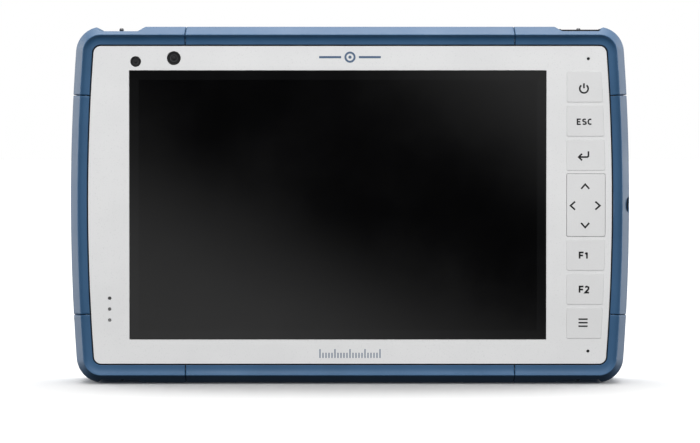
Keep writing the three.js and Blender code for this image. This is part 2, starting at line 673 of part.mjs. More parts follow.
function addBatteryDoor() {
  const edge = BAY_HALF_WIDTH - DOOR_EDGE_GAP;
  const top = BAY_TOP - DOOR_EDGE_GAP;
  const bottom = DOOR_HINGE.z + DOOR_HINGE.barrel + GAP;
  const panel = slab(roundedRectangle([-edge, edge], [bottom, top], 1.5), [DOOR_INNER, SHELL_BACK], 2);
  const knuckles = SIGNS.flatMap((sign) => {
    const span = [sign * DOOR_KNUCKLE, sign * (DOOR_PIN_HALF + 1)].sort((a, b) => a - b);
    return [
      rodX(DOOR_HINGE.barrel, span, DOOR_HINGE.y, DOOR_HINGE.z),
      box(span, [DOOR_HINGE.y - 0.5, DOOR_HINGE.y + 1], [DOOR_HINGE.z, bottom + 1]),
    ];
  });
  const bores = SIGNS.flatMap((sign) => [
    rodY(LATCH.shaft + GAP, sign * LATCH.x, [DOOR_INNER - 1, BACK], LATCH.z),
    rodY(LATCH.head + GAP, sign * LATCH.x, [LATCH.seat, BACK], LATCH.z, 24),
  ]);
  bores.push(rodX(DOOR_HINGE.bore, [-DOOR_PIN_HALF - 2, DOOR_PIN_HALF + 2], DOOR_HINGE.y, DOOR_HINGE.z, 12));
  add('battery_door', cut(join([panel, ...knuckles]), bores), SHELL_BLACK);
  add('battery_door_pin', rodX(DOOR_HINGE.pin, [-DOOR_PIN_HALF, DOOR_PIN_HALF], DOOR_HINGE.y, DOOR_HINGE.z, 12),
    STEEL);
  const ringFront = DOOR_INNER - GAP - GASKET.thickness;
  const ring = cut(box([-edge + GAP, edge - GAP], [ringFront, DOOR_INNER - GAP], [bottom, top - GAP]),
    [box([-edge + GASKET.width, edge - GASKET.width], [ringFront - 1, DOOR_INNER],
      [bottom + GASKET.width, top - GASKET.width])]);
  add('battery_door_gasket', ring, SEAL_BLACK);
}

// Each latch is drawn unlocked: its cam lies across the door, clear of the housing wall.
function addLatch(name, sign) {
  const x = sign * LATCH.x;
  const inward = [x - sign * LATCH.camReach, x].sort((a, b) => a - b);
  const parts = [
    rodY(LATCH.head, x, [LATCH.seat + GAP, LATCH.top], LATCH.z, 24),
    rodY(LATCH.shaft, x, [CAM_FRONT, LATCH.seat + 1], LATCH.z),
    box(inward, [CAM_FRONT, CAM_BACK], [LATCH.z - LATCH.camWidth / 2, LATCH.z + LATCH.camWidth / 2]),
  ];
  const grip = [-1, 1].map((side) => box([x - LATCH.head, x + LATCH.head], [LATCH.top - LATCH.gripDepth, BACK],
    side > 0 ? [LATCH.z + LATCH.gripHalf, LATCH.z + LATCH.head] : [LATCH.z - LATCH.head, LATCH.z - LATCH.gripHalf]));
  add(`battery_latch_${name}`, cut(join(parts), grip), STEEL);
}

// ---------------------------------------------------------------- inside

function addBattery() {
  add('battery_pack', slab(roundedRectangle(BATTERY.x, BATTERY.z, 3), BATTERY.y, 3), BATTERY_GREY);
  add('battery_contacts', box(CONTACTS.x, [BOARD.back + GAP, BATTERY.y[0] - GAP], CONTACTS.z), ANTENNA_TAN);
}

const SOCKETS = [
  { name: 'power_socket', z: 18, halfHeight: 4.2, halfDepth: 3.6, mouth: 'round', radius: 2.75, pin: 1 },
  { name: 'usb_a_socket', z: 4.5, halfHeight: 7.2, halfDepth: 3.6, mouth: 'flat', tongue: 1 },
  { name: 'usb_c_socket', z: -8.5, halfHeight: 4.7, halfDepth: 1.8, mouth: 'flat', tongue: 0.4 },
  { name: 'audio_socket', z: -18.5, halfHeight: 3.2, halfDepth: 3.2, mouth: 'round', radius: 1.75 },
];

function socketBlock({ z, halfHeight, halfDepth }, margin, span) {
  return box(span, [SOCKET_Y - halfDepth - margin, SOCKET_Y + halfDepth + margin],
    [z - halfHeight - margin, z + halfHeight + margin]);
}

function socketBores() {
  return SOCKETS.map((socket) => socketBlock(socket, GAP, [SOCKET_X[0] - 2, SOCKET_X[1] + 2]));
}

function addSockets() {
  const [back, mouth] = SOCKET_X;
  for (const socket of SOCKETS) {
    const { name, z, halfHeight, halfDepth } = socket;
    const block = socketBlock(socket, 0, SOCKET_X);
    const depth = [back + 1.5, mouth + 1];
    let geometry;
    if (socket.mouth === 'round') {
      geometry = cut(block, [rodX(socket.radius, depth, SOCKET_Y, z, 14)]);
    } else {
      geometry = cut(block, [box(depth, [SOCKET_Y - halfDepth + 0.5, SOCKET_Y + halfDepth - 0.5],
        [z - halfHeight + 0.6, z + halfHeight - 0.6])]);
    }
    if (socket.pin) {
      geometry = join([geometry, rodX(socket.pin, [back, mouth - 1], SOCKET_Y, z, 10)]);
    }
    if (socket.tongue) {
      geometry = join([geometry, box([back, mouth - 1], [SOCKET_Y - socket.tongue, SOCKET_Y + socket.tongue],
        [z - halfHeight + 1.4, z + halfHeight - 1.4])]);
    }
    add(name, geometry, socket.name === 'audio_socket' ? SHELL_BLACK : STEEL);
  }
}

function addElectronics() {
  add('main_board', box([-BOARD.halfWidth, BOARD.halfWidth], [BOARD.front, BOARD.back], [BOARD.bottom, BOARD.top]),
    BOARD_GREEN);
  add('shield_can', box(SHIELD.x, [CHASSIS_BACK + GAP, BOARD.front - GAP], SHIELD.z), STEEL);
  add('satellite_antenna', box(PATCH.x, PATCH.y, PATCH.z), ANTENNA_TAN);
  add('wireless_antenna', box(STRIP.x, STRIP.y, STRIP.z), ANTENNA_TAN);
  const cameraBlock = [REAR_WINDOW.x - 6, REAR_WINDOW.x + 6];
  add('rear_camera', box(cameraBlock, [4, SHELL_BACK - SHELL_WALL - GAP], [REAR_WINDOW.z - 6, REAR_WINDOW.z + 6]),
    LENS_BLACK);
  add('rear_camera_window', cameraWindow(0, [SHELL_BACK - SHELL_WALL, SHELL_BACK - 0.2]), LENS_BLACK);
  add('speaker', box([SPEAKER.x - 9, SPEAKER.x + 9], [8, SHELL_BACK - SHELL_WALL - GAP],
    [SPEAKER.z - 7, SPEAKER.z + 7]), SHELL_BLACK);
}

for (const [level, signZ] of [['top', 1], ['bottom', -1]]) {
  for (const [side, signX] of [['left', -1], ['right', 1]]) {
    addCorner(`${level}_${side}`, signX, signZ);
  }
}
addRails();
addPortDoor();
addOverlay();
addKeys();
addDisplay();
addFrontSensors();
addChassis();
addShell();
addCaseScrews();
addBatteryDoor();
addLatch('left', -1);
addLatch('right', 1);
addBattery();
addSockets();
addElectronics();

export default collector;
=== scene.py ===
"""Looks for the rugged survey data collector: moulded bumpers, bezel, keys, display and rear case."""

import json
import math

import bmesh
import bpy
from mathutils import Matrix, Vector


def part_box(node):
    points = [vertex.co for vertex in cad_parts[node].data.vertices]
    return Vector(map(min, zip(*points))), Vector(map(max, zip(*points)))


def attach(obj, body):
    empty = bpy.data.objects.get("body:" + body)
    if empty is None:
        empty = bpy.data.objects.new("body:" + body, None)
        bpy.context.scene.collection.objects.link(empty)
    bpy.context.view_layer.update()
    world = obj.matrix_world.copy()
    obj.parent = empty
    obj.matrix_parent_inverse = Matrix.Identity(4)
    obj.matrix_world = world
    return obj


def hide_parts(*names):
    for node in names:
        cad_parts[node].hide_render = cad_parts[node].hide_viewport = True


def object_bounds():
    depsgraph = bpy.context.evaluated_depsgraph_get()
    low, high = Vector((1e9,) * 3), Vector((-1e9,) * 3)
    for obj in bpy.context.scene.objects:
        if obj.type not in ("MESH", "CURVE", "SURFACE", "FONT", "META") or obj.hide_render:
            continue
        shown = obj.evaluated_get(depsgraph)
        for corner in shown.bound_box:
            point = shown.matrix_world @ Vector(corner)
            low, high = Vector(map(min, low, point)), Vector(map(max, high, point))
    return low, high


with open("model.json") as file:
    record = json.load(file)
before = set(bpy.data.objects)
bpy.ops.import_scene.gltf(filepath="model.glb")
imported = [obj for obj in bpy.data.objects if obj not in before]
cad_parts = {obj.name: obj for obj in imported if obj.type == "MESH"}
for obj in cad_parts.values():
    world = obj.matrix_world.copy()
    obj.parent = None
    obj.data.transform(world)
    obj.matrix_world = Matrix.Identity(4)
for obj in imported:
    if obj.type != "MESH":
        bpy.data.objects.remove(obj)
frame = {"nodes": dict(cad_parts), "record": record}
CAD_LOW, CAD_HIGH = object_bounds()

# ---------------- dimensions
# Lengths below are in millimetres, measured from the middle of the unit.

MM = 0.001
HALF_WIDTH = (CAD_HIGH.x - CAD_LOW.x) / 2 / MM
HALF_DEPTH = (CAD_HIGH.y - CAD_LOW.y) / 2 / MM
HALF_HEIGHT = (CAD_HIGH.z - CAD_LOW.z) / 2 / MM
MIDDLE = HALF_HEIGHT * MM  # height of the unit's middle above the surface it stands on

SIDE_BOW = 820  # radius of the bowed left and right sides
CORNER = 10  # radius of the outline's corners
BOW_CENTRE = HALF_WIDTH - SIDE_BOW
FILLET_Z = HALF_HEIGHT - CORNER
FILLET_X = BOW_CENTRE + math.sqrt((SIDE_BOW - CORNER) ** 2 - FILLET_Z**2)
FILLET_START = math.atan2(FILLET_Z, FILLET_X - BOW_CENTRE)
SIDE_END = SIDE_BOW * math.sin(FILLET_START)  # height at which a corner's arc starts

SPLIT_X = 63.1  # where the top and bottom rails meet the corner bumpers
SPLIT_Z = 42.2  # where the side rails meet them
SPLIT_GAP = 0.3
SPLIT_JOG = 0.18  # the rails' ends step in towards the outer edge
NOTCH_INNER = 78.5  # strap notches, along X
NOTCH_FLOOR_INNER = 81.4
NOTCH_FLOOR_OUTER = 95.6
NOTCH_OUTER = 97.2
NOTCH_DEPTH = {1: 1.9, -1: 1.35}  # top and bottom
NOTCH_EASE = 0.22  # how much the notches' slopes are eased at both ends

KEY_SLACK = 0.015  # gap left round a key, kept fine so that the column reads as one surface
PAD_SLACK = 0.13  # gap left round the direction pad, which tilts
KEY_TRIM = 0.22  # the key tops stop this far inside the keys' full size, above and below
KEY_ROUND = 0.6
EDGE_SOFT = 0.12

SLOT_OF = {part["node"]: part["material_slot"] for part in frame["record"]["subparts"]}
BODY_OF = {node: body for body, nodes in frame["record"]["behaviour"]["bodies"].items() for node in nodes}


def box_mm(node):
    """A node's lowest and highest corner, in millimetres from the middle of the unit."""
    low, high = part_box(node)
    shift = Vector((0, 0, HALF_HEIGHT))
    return low / MM - shift, high / MM - shift


def middle(node):
    """A node's middle in the front view, as (x, z)."""
    low, high = box_mm(node)
    return (low.x + high.x) / 2, (low.z + high.z) / 2


def radius_of(node, axis="x"):
    low, high = box_mm(node)
    return getattr(high - low, axis) / 2


# ---------------- mesh helpers


def linked(name, data):
    """A new object in the scene."""
    piece = bpy.data.objects.new(name, data)
    bpy.context.scene.collection.objects.link(piece)
    return piece


def new_object(name, mesh, slot, look=None, body="housing", replaced=()):
    """A finished piece on a body, in its slot's look or in one of its own."""
    mesh.name = name
    mesh.materials.clear()
    mesh.materials.append(look or LOOKS[slot])
    piece = linked(name, mesh)
    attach(piece, body)
    if replaced:
        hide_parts(*replaced)


def stand_in(node, ending, mesh, look=None):
    """A finer piece in place of a CAD node."""
    new_object(f"{node}_{ending}", mesh, SLOT_OF[node], look, BODY_OF[node], [node])


def to_mesh(points, faces, sharp_angle=35):
    """A mesh from points in millimetres about the middle of the unit."""
    mesh = bpy.data.meshes.new("piece")
    mesh.from_pydata([(x * MM, y * MM, z * MM + MIDDLE) for x, y, z in points], [], faces)
    return tidy_mesh(mesh, sharp_angle)


def tidy_mesh(mesh, sharp_angle):
    """Merges doubles, turns the faces outwards and shades smooth up to the sharp angle."""
    work = bmesh.new()
    work.from_mesh(mesh)
    bmesh.ops.remove_doubles(work, verts=work.verts, dist=1e-7)
    bmesh.ops.recalc_face_normals(work, faces=work.faces)
    work.to_mesh(mesh)
    work.free()
    return shaded(mesh, sharp_angle)


def shaded(mesh, sharp_angle):
    """Smooth shading up to the sharp angle; faces square to an axis stay flat."""
    mesh.shade_smooth()
    mesh.set_sharp_from_angle(angle=math.radians(sharp_angle))
    for face in mesh.polygons:
        if max(abs(value) for value in face.normal) > 0.99999:
            face.use_smooth = False
    return mesh


def smoothstep(low, high, value):
    t = min(1.0, max(0.0, (value - low) / (high - low)))
    return t * t * (3 - 2 * t)


def slope(low, high, value):
    """A straight rise from 0 to 1 between two values, mixed with a little easing at both ends."""
    t = min(1.0, max(0.0, (value - low) / (high - low)))
    return t * (1 - NOTCH_EASE) + smoothstep(0, 1, t) * NOTCH_EASE


def spread(start, end, step):
    """Evenly spaced values from start to end, about one step apart."""
    count = max(1, round(abs(end - start) / step))
    return [start + (end - start) * i / count for i in range(count + 1)]


def arc(centre, radius, start, end, steps):
    """Points of an arc in degrees, both ends included."""
    angles = [math.radians(start + (end - start) * i / steps) for i in range(steps + 1)]
    return [(centre[0] + radius * math.cos(a), centre[1] + radius * math.sin(a)) for a in angles]


def applied(piece):
    """The mesh of an object with its modifiers or curve settings applied; the object is removed."""
    bpy.context.view_layer.update()
    graph = bpy.context.evaluated_depsgraph_get()
    mesh = bpy.data.meshes.new_from_object(piece.evaluated_get(graph), depsgraph=graph)
    bpy.data.objects.remove(piece)
    return mesh


# ---------------- the bowed outline
# A station is a place (x, z) on the outline in the front view with the outline's normal there.


def bow_stations(heights):
    """Stations on the bowed side."""
    stations = []
    for z in heights:
        angle = math.asin(z / SIDE_BOW)
        stations.append(((BOW_CENTRE + SIDE_BOW * math.cos(angle), z), (math.cos(angle), math.sin(angle))))
    return stations


def fillet_stations(steps):
    """Stations round a corner, up to the flat top."""
    stations = []
    for i in range(steps + 1):
        angle = FILLET_START + (math.pi / 2 - FILLET_START) * i / steps
        normal = (math.cos(angle), math.sin(angle))
        stations.append(((FILLET_X + CORNER * normal[0], FILLET_Z + CORNER * normal[1]), normal))
    return stations


def top_stations(places):
    return [((x, HALF_HEIGHT), (0.0, 1.0)) for x in places]


def shrunk(section):
    """The section with each point moved inwards along its own normal, for a rounded end."""
    count = len(section)
    area = sum(section[i - 1][0] * section[i][1] - section[i][0] * section[i - 1][1] for i in range(count))
    amount = math.copysign(END_ROUND, area)
    moved = []
    for i, (a, b) in enumerate(section):
        before, after = section[i - 1], section[(i + 1) % count]
        along = Vector((after[0] - before[0], after[1] - before[1])).normalized()
        moved.append((a - along.y * amount, b + along.x * amount))
    return moved


def tube_faces(base, rings, count):
    """Faces of a tube through rings of points that start at a place in the list, with both ends closed."""
    faces = []
    starts = range(base, base + rings * count, count)
    for start in starts[:-1]:
        for j in range(count):
            first, second = start + j, start + (j + 1) % count
            faces.append((first, second, second + count, first + count))
    return faces + [tuple(start + j for j in range(count)) for start in (starts[0], starts[-1])]


def sweep(stations, section, shape=None, round_ends=False):
    """Points and faces of a section of (inset, y) points carried along stations.

    shape(x, y, z, inset) may move a point.
    """
    rings = [(station, section) for station in stations]
    if round_ends:
        small = shrunk(section)
        rings = [(stations[0], small)] + rings[1:-1] + [(stations[-1], small)]
    points = []
    for ((x, z), (nx, nz)), ring in rings:
        for inset, y in ring:
            inset += LIP_EXTRA * abs(nz) * smoothstep(CREST_INNER, LIP, inset)
            place = (x - inset * nx, y, z - inset * nz)
            points.append(shape(*place, inset) if shape else place)
    return points, tube_faces(0, len(rings), len(section))


# ---------------- bumpers

CREST = -HALF_DEPTH
LIP = 6.7  # inner edge of the bumper, beside the bezel
WALL = 4.7  # inner face of the bumper's side wall
OVERLAY_LOW, OVERLAY_HIGH = box_mm("front_overlay")
SHELL_HIGH = box_mm("rear_shell")[1]

CREST_INNER = 3.6  # the crest's inner edge, where the cove down to the lip starts
COVE_DEPTH = 1.45
COVE_CURVE = 3.6  # how much steeper the cove is at the crest than at the lip
LIP_EXTRA = 0.42  # the lip is this much wider along the top and bottom than at the sides
BEVEL = {"start": 3.1, "end": 0.28, "top": 0.35, "run": 6.4, "bulge": 0.18}
WALL_TURN = [(0.14, 7.15), (0.04, 7.75), (0, 8.5)]  # insets and depths where the bevel meets the wall

GRIP_PITCH = 2.2
GRIP_DEPTH = 0.4
GRIP_SPAN = (SPLIT_Z + 3.0, SPLIT_Z + 3.0 + 4 * GRIP_PITCH)
GRIP_FADE = (8.5, 11.0)  # the grooves run out between these depths
END_ROUND = 0.18
JOG_SPAN = (0.3, 3.2)  # the insets between which the split lines' jog runs out
JOG_FADE = 6  # and how far along the rim it fades
FOOT_HALF = 43.6  # the bottom rail is relieved between its ends, so that the unit stands on those
FOOT_RELIEF = 0.3


def half_section(lip_under):
    """The rim's points on its front, from the inner lip to the side wall."""
    floor = CREST + COVE_DEPTH
    cove_start = LIP - EDGE_SOFT
    points = [(WALL, lip_under), (LIP, lip_under), (LIP, floor + EDGE_SOFT), (cove_start, floor)]
    for t in spread(0, 1, 0.1)[1:]:
        inset = cove_start - (cove_start - CREST_INNER) * t
        points.append((inset, floor - COVE_DEPTH * t**COVE_CURVE * 0.98))
    points += [(CREST_INNER - 0.1, CREST), (3.3, CREST), (3.2, CREST + EDGE_SOFT)]
    for t in spread(0, 1, 1 / 7)[1:]:
        inset = BEVEL["start"] * (1 - t) + BEVEL["end"] * t - BEVEL["bulge"] * math.sin(math.pi * t)
        points.append((inset, CREST + BEVEL["top"] + BEVEL["run"] * t))
    return points + [(inset, CREST + depth) for inset, depth in WALL_TURN]


def bumper_section():
    front = half_section(OVERLAY_HIGH.y)
    back = [(inset, -y) for inset, y in half_section(-(SHELL_HIGH.y + 0.3))]
    return front + back[::-1]


def notch_floor(x, sign):
    """Height of the outer edge above the middle, at a place along the top or bottom."""
    inner = slope(NOTCH_INNER, NOTCH_FLOOR_INNER, x)
    outer = 1 - slope(NOTCH_FLOOR_OUTER, NOTCH_OUTER, x)
    return HALF_HEIGHT - NOTCH_DEPTH[sign] * inner * outer


def grip_depth(y, z):
    """Depth of the shallow grip grooves in the side of a corner bumper."""
    if not GRIP_SPAN[0] <= z <= GRIP_SPAN[1]:
        return 0.0
    wave = math.sin(math.pi * ((z - GRIP_SPAN[0]) / GRIP_PITCH)) ** 2
    return GRIP_DEPTH * wave * (1 - smoothstep(*GRIP_FADE, abs(y)))


def jog(inset):
    """How far a split line steps sideways at an inset."""
    return SPLIT_JOG * (1 - smoothstep(*JOG_SPAN, inset))


def corner_shape(sign_z):
    """Cuts a corner bumper's strap notch, grip grooves and stepped end."""
    def shape(x, y, z, inset):
        z = min(z, notch_floor(x, sign_z)) if z > HALF_HEIGHT - 4 else z
        if inset < 0.5:
            x -= grip_depth(y, z)
        if z > HALF_HEIGHT - 8:
            x -= jog(inset) * (1 - smoothstep(0, JOG_FADE, x - SPLIT_X))
        return x, y, z

    return shape


def rail_shape(sign_z):
    """Steps a rail's ends and relieves the bottom rail."""
    def shape(x, y, z, inset):
        x -= math.copysign(jog(inset) * smoothstep(SPLIT_X - JOG_FADE, SPLIT_X, abs(x)), x)
        if sign_z < 0 and abs(x) < FOOT_HALF:
            z = min(z, HALF_HEIGHT - FOOT_RELIEF)
        return x, y, z

    return shape


def rim_mesh(stations, shape, sign_x, sign_z):
    """A stretch of the bumper ring, mirrored into its place."""
    points, faces = sweep(stations, bumper_section(), shape, True)
    return to_mesh([(x * sign_x, y, z * sign_z) for x, y, z in points], faces, 50)


def ended(half, step):
    """Values from -half to half with a close pair at each end, for a rounded end."""
    inner = half - END_ROUND * 4
    return [-half, END_ROUND - half] + spread(-inner, inner, step) + [half - END_ROUND, half]


def corner_bumper(node, sign_x, sign_z):
    split_z, split_x = SPLIT_Z + SPLIT_GAP / 2, SPLIT_X + SPLIT_GAP / 2
    plain = NOTCH_INNER - 2  # from here to the split the top is flat
    side = [split_z, split_z + END_ROUND] + spread(split_z + 0.5, SIDE_END, 0.28)[:-1]
    top = spread(FILLET_X, plain, 0.3)[1:] + spread(plain, split_x + 0.5, 1.5)[1:]
    top += [split_x + END_ROUND, split_x]
    stations = bow_stations(side) + fillet_stations(22) + top_stations(top)
    mesh = rim_mesh(stations, corner_shape(sign_z), sign_x, sign_z)
    stand_in(node, "moulded", mesh)


def flat_rail(node, sign_z):
    places = ended(SPLIT_X - SPLIT_GAP / 2, 3)
    if sign_z < 0:
        places += [side * (FOOT_HALF + step) for side in (-1, 1) for step in (-0.35, 0.3)]
    mesh = rim_mesh(top_stations(sorted(places)), rail_shape(sign_z), 1, sign_z)
    stand_in(node, "moulded", mesh)


def side_rail_mesh(sign_x):
    return rim_mesh(bow_stations(ended(SPLIT_Z - SPLIT_GAP / 2, 1.5)), None, sign_x, 1)


# ---------------- flat plates and prisms


def rounded(corners, radius):
    """A polygon with its corners rounded by arcs."""
    points = []
    steps = 5
    for i, corner in enumerate(corners):
        corner = Vector(corner)
        before = (Vector(corners[i - 1]) - corner).normalized()
        after = (Vector(corners[(i + 1) % len(corners)]) - corner).normalized()
        half = math.acos(max(-1, min(1, before.dot(after)))) / 2
        reach = radius / math.tan(half)
        centre = corner + (before + after).normalized() * (radius / math.sin(half))
        start, end = corner + before * reach - centre, corner + after * reach - centre
        for k in range(steps + 1):
            points.append(tuple(centre + start.slerp(end, k / steps).normalized() * radius))
    return points


def rectangle(x0, x1, z0, z1, radius=0.0):
    corners = [(x0, z0), (x1, z0), (x1, z1), (x0, z1)]
    return rounded(corners, radius) if radius else corners


def circle(x, z, radius, steps=20):
    return arc((x, z), radius, 0, 360 * (1 - 1 / steps), steps - 1)


def plate_mesh(loops, y_front, y_back, soft=EDGE_SOFT, resolution=2):
    """A flat plate with softened edges: the first loop is its outline, the others are holes."""
    curve = bpy.data.curves.new("plate", "CURVE")
    curve.dimensions = "2D"
    curve.fill_mode = "BOTH"
    curve.extrude = ((y_back - y_front) / 2 - soft) * MM
    curve.bevel_depth = soft * MM
    curve.bevel_resolution = resolution
    curve.offset = -soft * MM
    for loop in loops:
        spline = curve.splines.new("POLY")
        spline.points.add(len(loop) - 1)
        for point, (x, z) in zip(spline.points, loop):
            point.co = (x * MM, z * MM, 0, 1)
        spline.use_cyclic_u = True
    mesh = applied(linked("plate", curve))
    for vertex in mesh.vertices:
        x, z, depth = vertex.co
        vertex.co = (x, (y_front + y_back) / 2 * MM - depth, z + MIDDLE)
    return tidy_mesh(mesh, 40)


def prisms_mesh(prisms, soft=0.0):
    """Prisms as one mesh, each an outline with its two depths; their edges may be softened."""
    points, faces = [], []
    for loop, depths in prisms:
        faces += tube_faces(len(points), 2, len(loop))
        points += [(x, y, z) for y in depths for x, z in loop]
    mesh = to_mesh(points, faces)
    return softened_mesh(mesh, soft, 2) if soft else mesh


def boxes_mesh(boxes, soft=0.0):
    """Blocks given as (xs, ys, zs) as one mesh."""
    return prisms_mesh([(rectangle(*xs, *zs), ys) for xs, ys, zs in boxes], soft)


def prints_mesh(loops, face, front=-0.02, back=0.04):
    """Thin prints on a flat face, reaching from a little in front of it to a little behind it."""
    return prisms_mesh([(loop, (face + front, face + back)) for loop in loops])


def stroke(points, width):
    """The outline of a line of constant width with mitred bends and square ends."""
    points = [Vector(point) for point in points]
    left, right = [], []
    for i, point in enumerate(points):
        ahead = (points[i + 1] - point).normalized() if i < len(points) - 1 else None
        behind = (point - points[i - 1]).normalized() if i else None
        ahead, behind = ahead or behind, behind or ahead
        normal = Vector((-(ahead + behind).y, (ahead + behind).x)).normalized()
        stretch = width / 2 / max(0.3, normal.dot(Vector((-ahead.y, ahead.x))))
        left.append(tuple(point + normal * stretch))
        right.append(tuple(point - normal * stretch))
    return left + right[::-1]


def lathe_mesh(profile, centre, axis="y", steps=24):
    """A solid of revolution: the profile's (radius, place along the axis) points run axis to axis."""
    points, faces, rings = [], [], []
    turns = [2 * math.pi * k / steps for k in range(steps)]
    for radius, along in profile:
        ring = turns if radius > 0 else [0]
        rings.append(range(len(points), len(points) + len(ring)))
        for turn in ring:
            place = [centre[0] + radius * math.cos(turn), centre[1] + radius * math.sin(turn)]
            place.insert("xyz".index(axis), along)
            points.append(place)
    for first, second in zip(rings, rings[1:]):
        for k in range(steps):
            n = (k + 1) % steps
            corners = [(first, k), (second, k), (second, n), (first, n)]
            faces.append(tuple(dict.fromkeys(ring[i % len(ring)] for ring, i in corners)))
    return to_mesh(points, faces)


def pin_profile(radius, low, high, dome=0.3):
    """A plain pin with chamfered, slightly domed ends."""
    end = [(0, 0), (radius * 0.6, dome * 0.2), (radius, dome)]
    return [(r, low + rise) for r, rise in end] + [(r, high - rise) for r, rise in reversed(end)]


def combined(mesh, others, operation="DIFFERENCE"):
    """The mesh less the other meshes, or joined with them."""
    holder = linked("holder", mesh)
    tools = [linked("tool", other) for other in others]
    for tool in tools:
        step = holder.modifiers.new("step", "BOOLEAN")
        step.operation = operation
        step.solver = "EXACT"
        step.object = tool
    result = applied(holder)
    for tool in tools:
        bpy.data.objects.remove(tool)
    return shaded(result, 40)


def softened_mesh(mesh, width, segments):
    """Flat faces joined up and hard edges rounded over."""
    work = bmesh.new()
    work.from_mesh(mesh)
    bmesh.ops.remove_doubles(work, verts=work.verts, dist=1e-6)
    bmesh.ops.dissolve_limit(work, angle_limit=math.radians(1), verts=work.verts, edges=work.edges)
    work.to_mesh(mesh)
    work.free()
    holder = linked("holder", mesh)
    bevel = holder.modifiers.new("soft", "BEVEL")
    bevel.width = width * MM
    bevel.segments = segments
    bevel.limit_method = "ANGLE"
    bevel.angle_limit = math.radians(30)
    bevel.use_clamp_overlap = True
    return shaded(applied(holder), 40)


def softened_node(node, width, segments=2, cutters=()):
    """A CAD node's own shape with its edges rounded over, standing for the node."""
    mesh = frame["nodes"][node].data.copy()
    if cutters:
        mesh = combined(mesh, cutters)
    stand_in(node, "finished", softened_mesh(mesh, width, segments))


# ---------------- materials


def fill(node, inputs):
    """Sets a node's inputs by name or place: a socket is linked, anything else is the value."""
    for key, value in inputs.items():
        if isinstance(value, bpy.types.NodeSocket):
            node.id_data.links.new(value, node.inputs[key])
        else:
            node.inputs[key].default_value = value


def add_node(tree, kind, inputs=None, **settings):
    """Adds a shader node and gives its outputs."""
    node = tree.nodes.new("ShaderNode" + kind)
    for key, value in settings.items():
        setattr(node, key, value)
    fill(node, inputs or {})
    return node.outputs


def noise(tree, place, scale, detail=3.0):
    inputs = {"Vector": place, "Scale": scale, "Detail": detail, "Roughness": 0.55}
    return add_node(tree, "TexNoise", inputs)["Fac"]


def ramp(tree, value, low, high, start, end, kind="LINEAR"):
    """The value's range low to high carried to start to end, and held outside it."""
    inputs = dict(enumerate((value, low, high, start, end)))
    return add_node(tree, "MapRange", inputs, clamp=True, interpolation_type=kind)[0]


def mix(tree, factor, first, second):
    """A colour between two colours; each may be a colour or a socket."""
    first, second = [(*colour, 1) if isinstance(colour, tuple) else colour for colour in (first, second)]
    return add_node(tree, "Mix", {0: factor, 6: first, 7: second}, data_type="RGBA")[2]


def maths(tree, operation, first, second=0.0):
    return add_node(tree, "Math", {0: first, 1: second}, operation=operation)[0]


def bump(tree, height, distance, strength):
    inputs = {"Height": height, "Strength": strength, "Distance": distance * MM}
    return add_node(tree, "Bump", inputs)["Normal"]


def blank(name):
    """A new material with its tree, its shader and the place on the object."""
    material = bpy.data.materials.new(name)
    material.use_nodes = True
    tree = material.node_tree
    return material, tree, tree.nodes["Principled BSDF"], add_node(tree, "TexCoord")["Object"]


MOTTLE, SMEARS, WORN_PATCHES = 45, 28, 160  # noise scales, in cycles per metre


def moulded(name, dark, light, roughness, grain=2600, depth=0.02, wear=None, specular=0.5, speckle=None):
    """Moulded plastic or rubber: mottled colour, a fine grain, and edges worn lighter."""
    material, tree, shader, place = blank(name)
    colour = mix(tree, ramp(tree, noise(tree, place, MOTTLE), 0.35, 0.65, 0, 1), dark, light)
    if speckle:
        dots = ramp(tree, noise(tree, place, grain * 0.6, 1), 0.62, 0.72, 0, 0.6)
        colour = mix(tree, dots, colour, speckle)
    if wear:
        edge = ramp(tree, add_node(tree, "NewGeometry")["Pointiness"], 0.53, 0.62, 0, 1)
        patchy = ramp(tree, noise(tree, place, WORN_PATCHES, 4), 0.4, 0.7, 0.1, 0.7)
        colour = mix(tree, maths(tree, "MULTIPLY", edge, patchy), colour, wear)
    gloss = ramp(tree, noise(tree, place, SMEARS, 4), 0.3, 0.7, roughness - 0.05, roughness + 0.05)
    normal = bump(tree, noise(tree, place, grain, 2), depth, 0.5)
    fill(shader, {"Base Color": colour, "Roughness": gloss, "Specular IOR Level": specular, "Normal": normal})
    return material


def metal(name, dark, light, roughness, stretch=(1, 1, 1), scale=900, depth=0.008):
    """Bare or plated metal with fine lines along the stretched direction."""
    material, tree, shader, place = blank(name)
    lines = noise(tree, add_node(tree, "Mapping", {"Vector": place, "Scale": stretch})[0], scale)
    colour = mix(tree, lines, dark, light)
    gloss = ramp(tree, lines, 0.3, 0.7, roughness - 0.08, roughness + 0.08)
    normal = bump(tree, lines, depth, 0.4)
    fill(shader, {"Base Color": colour, "Roughness": gloss, "Metallic": 1.0, "Normal": normal})
    return material


def glossy(name, dark, light, roughness, coat=0.0):
    """Polished plastic or coated glass with faint smudges in its gloss."""
    material, tree, shader, place = blank(name)
    smudge = noise(tree, place, 60, 5)
    gloss = ramp(tree, smudge, 0.35, 0.7, roughness, roughness + 0.05)
    fill(shader, {"Base Color": mix(tree, smudge, dark, light), "Roughness": gloss, "Coat Weight": coat})
    return material


BORDER = 3.5  # width of the display's printed border


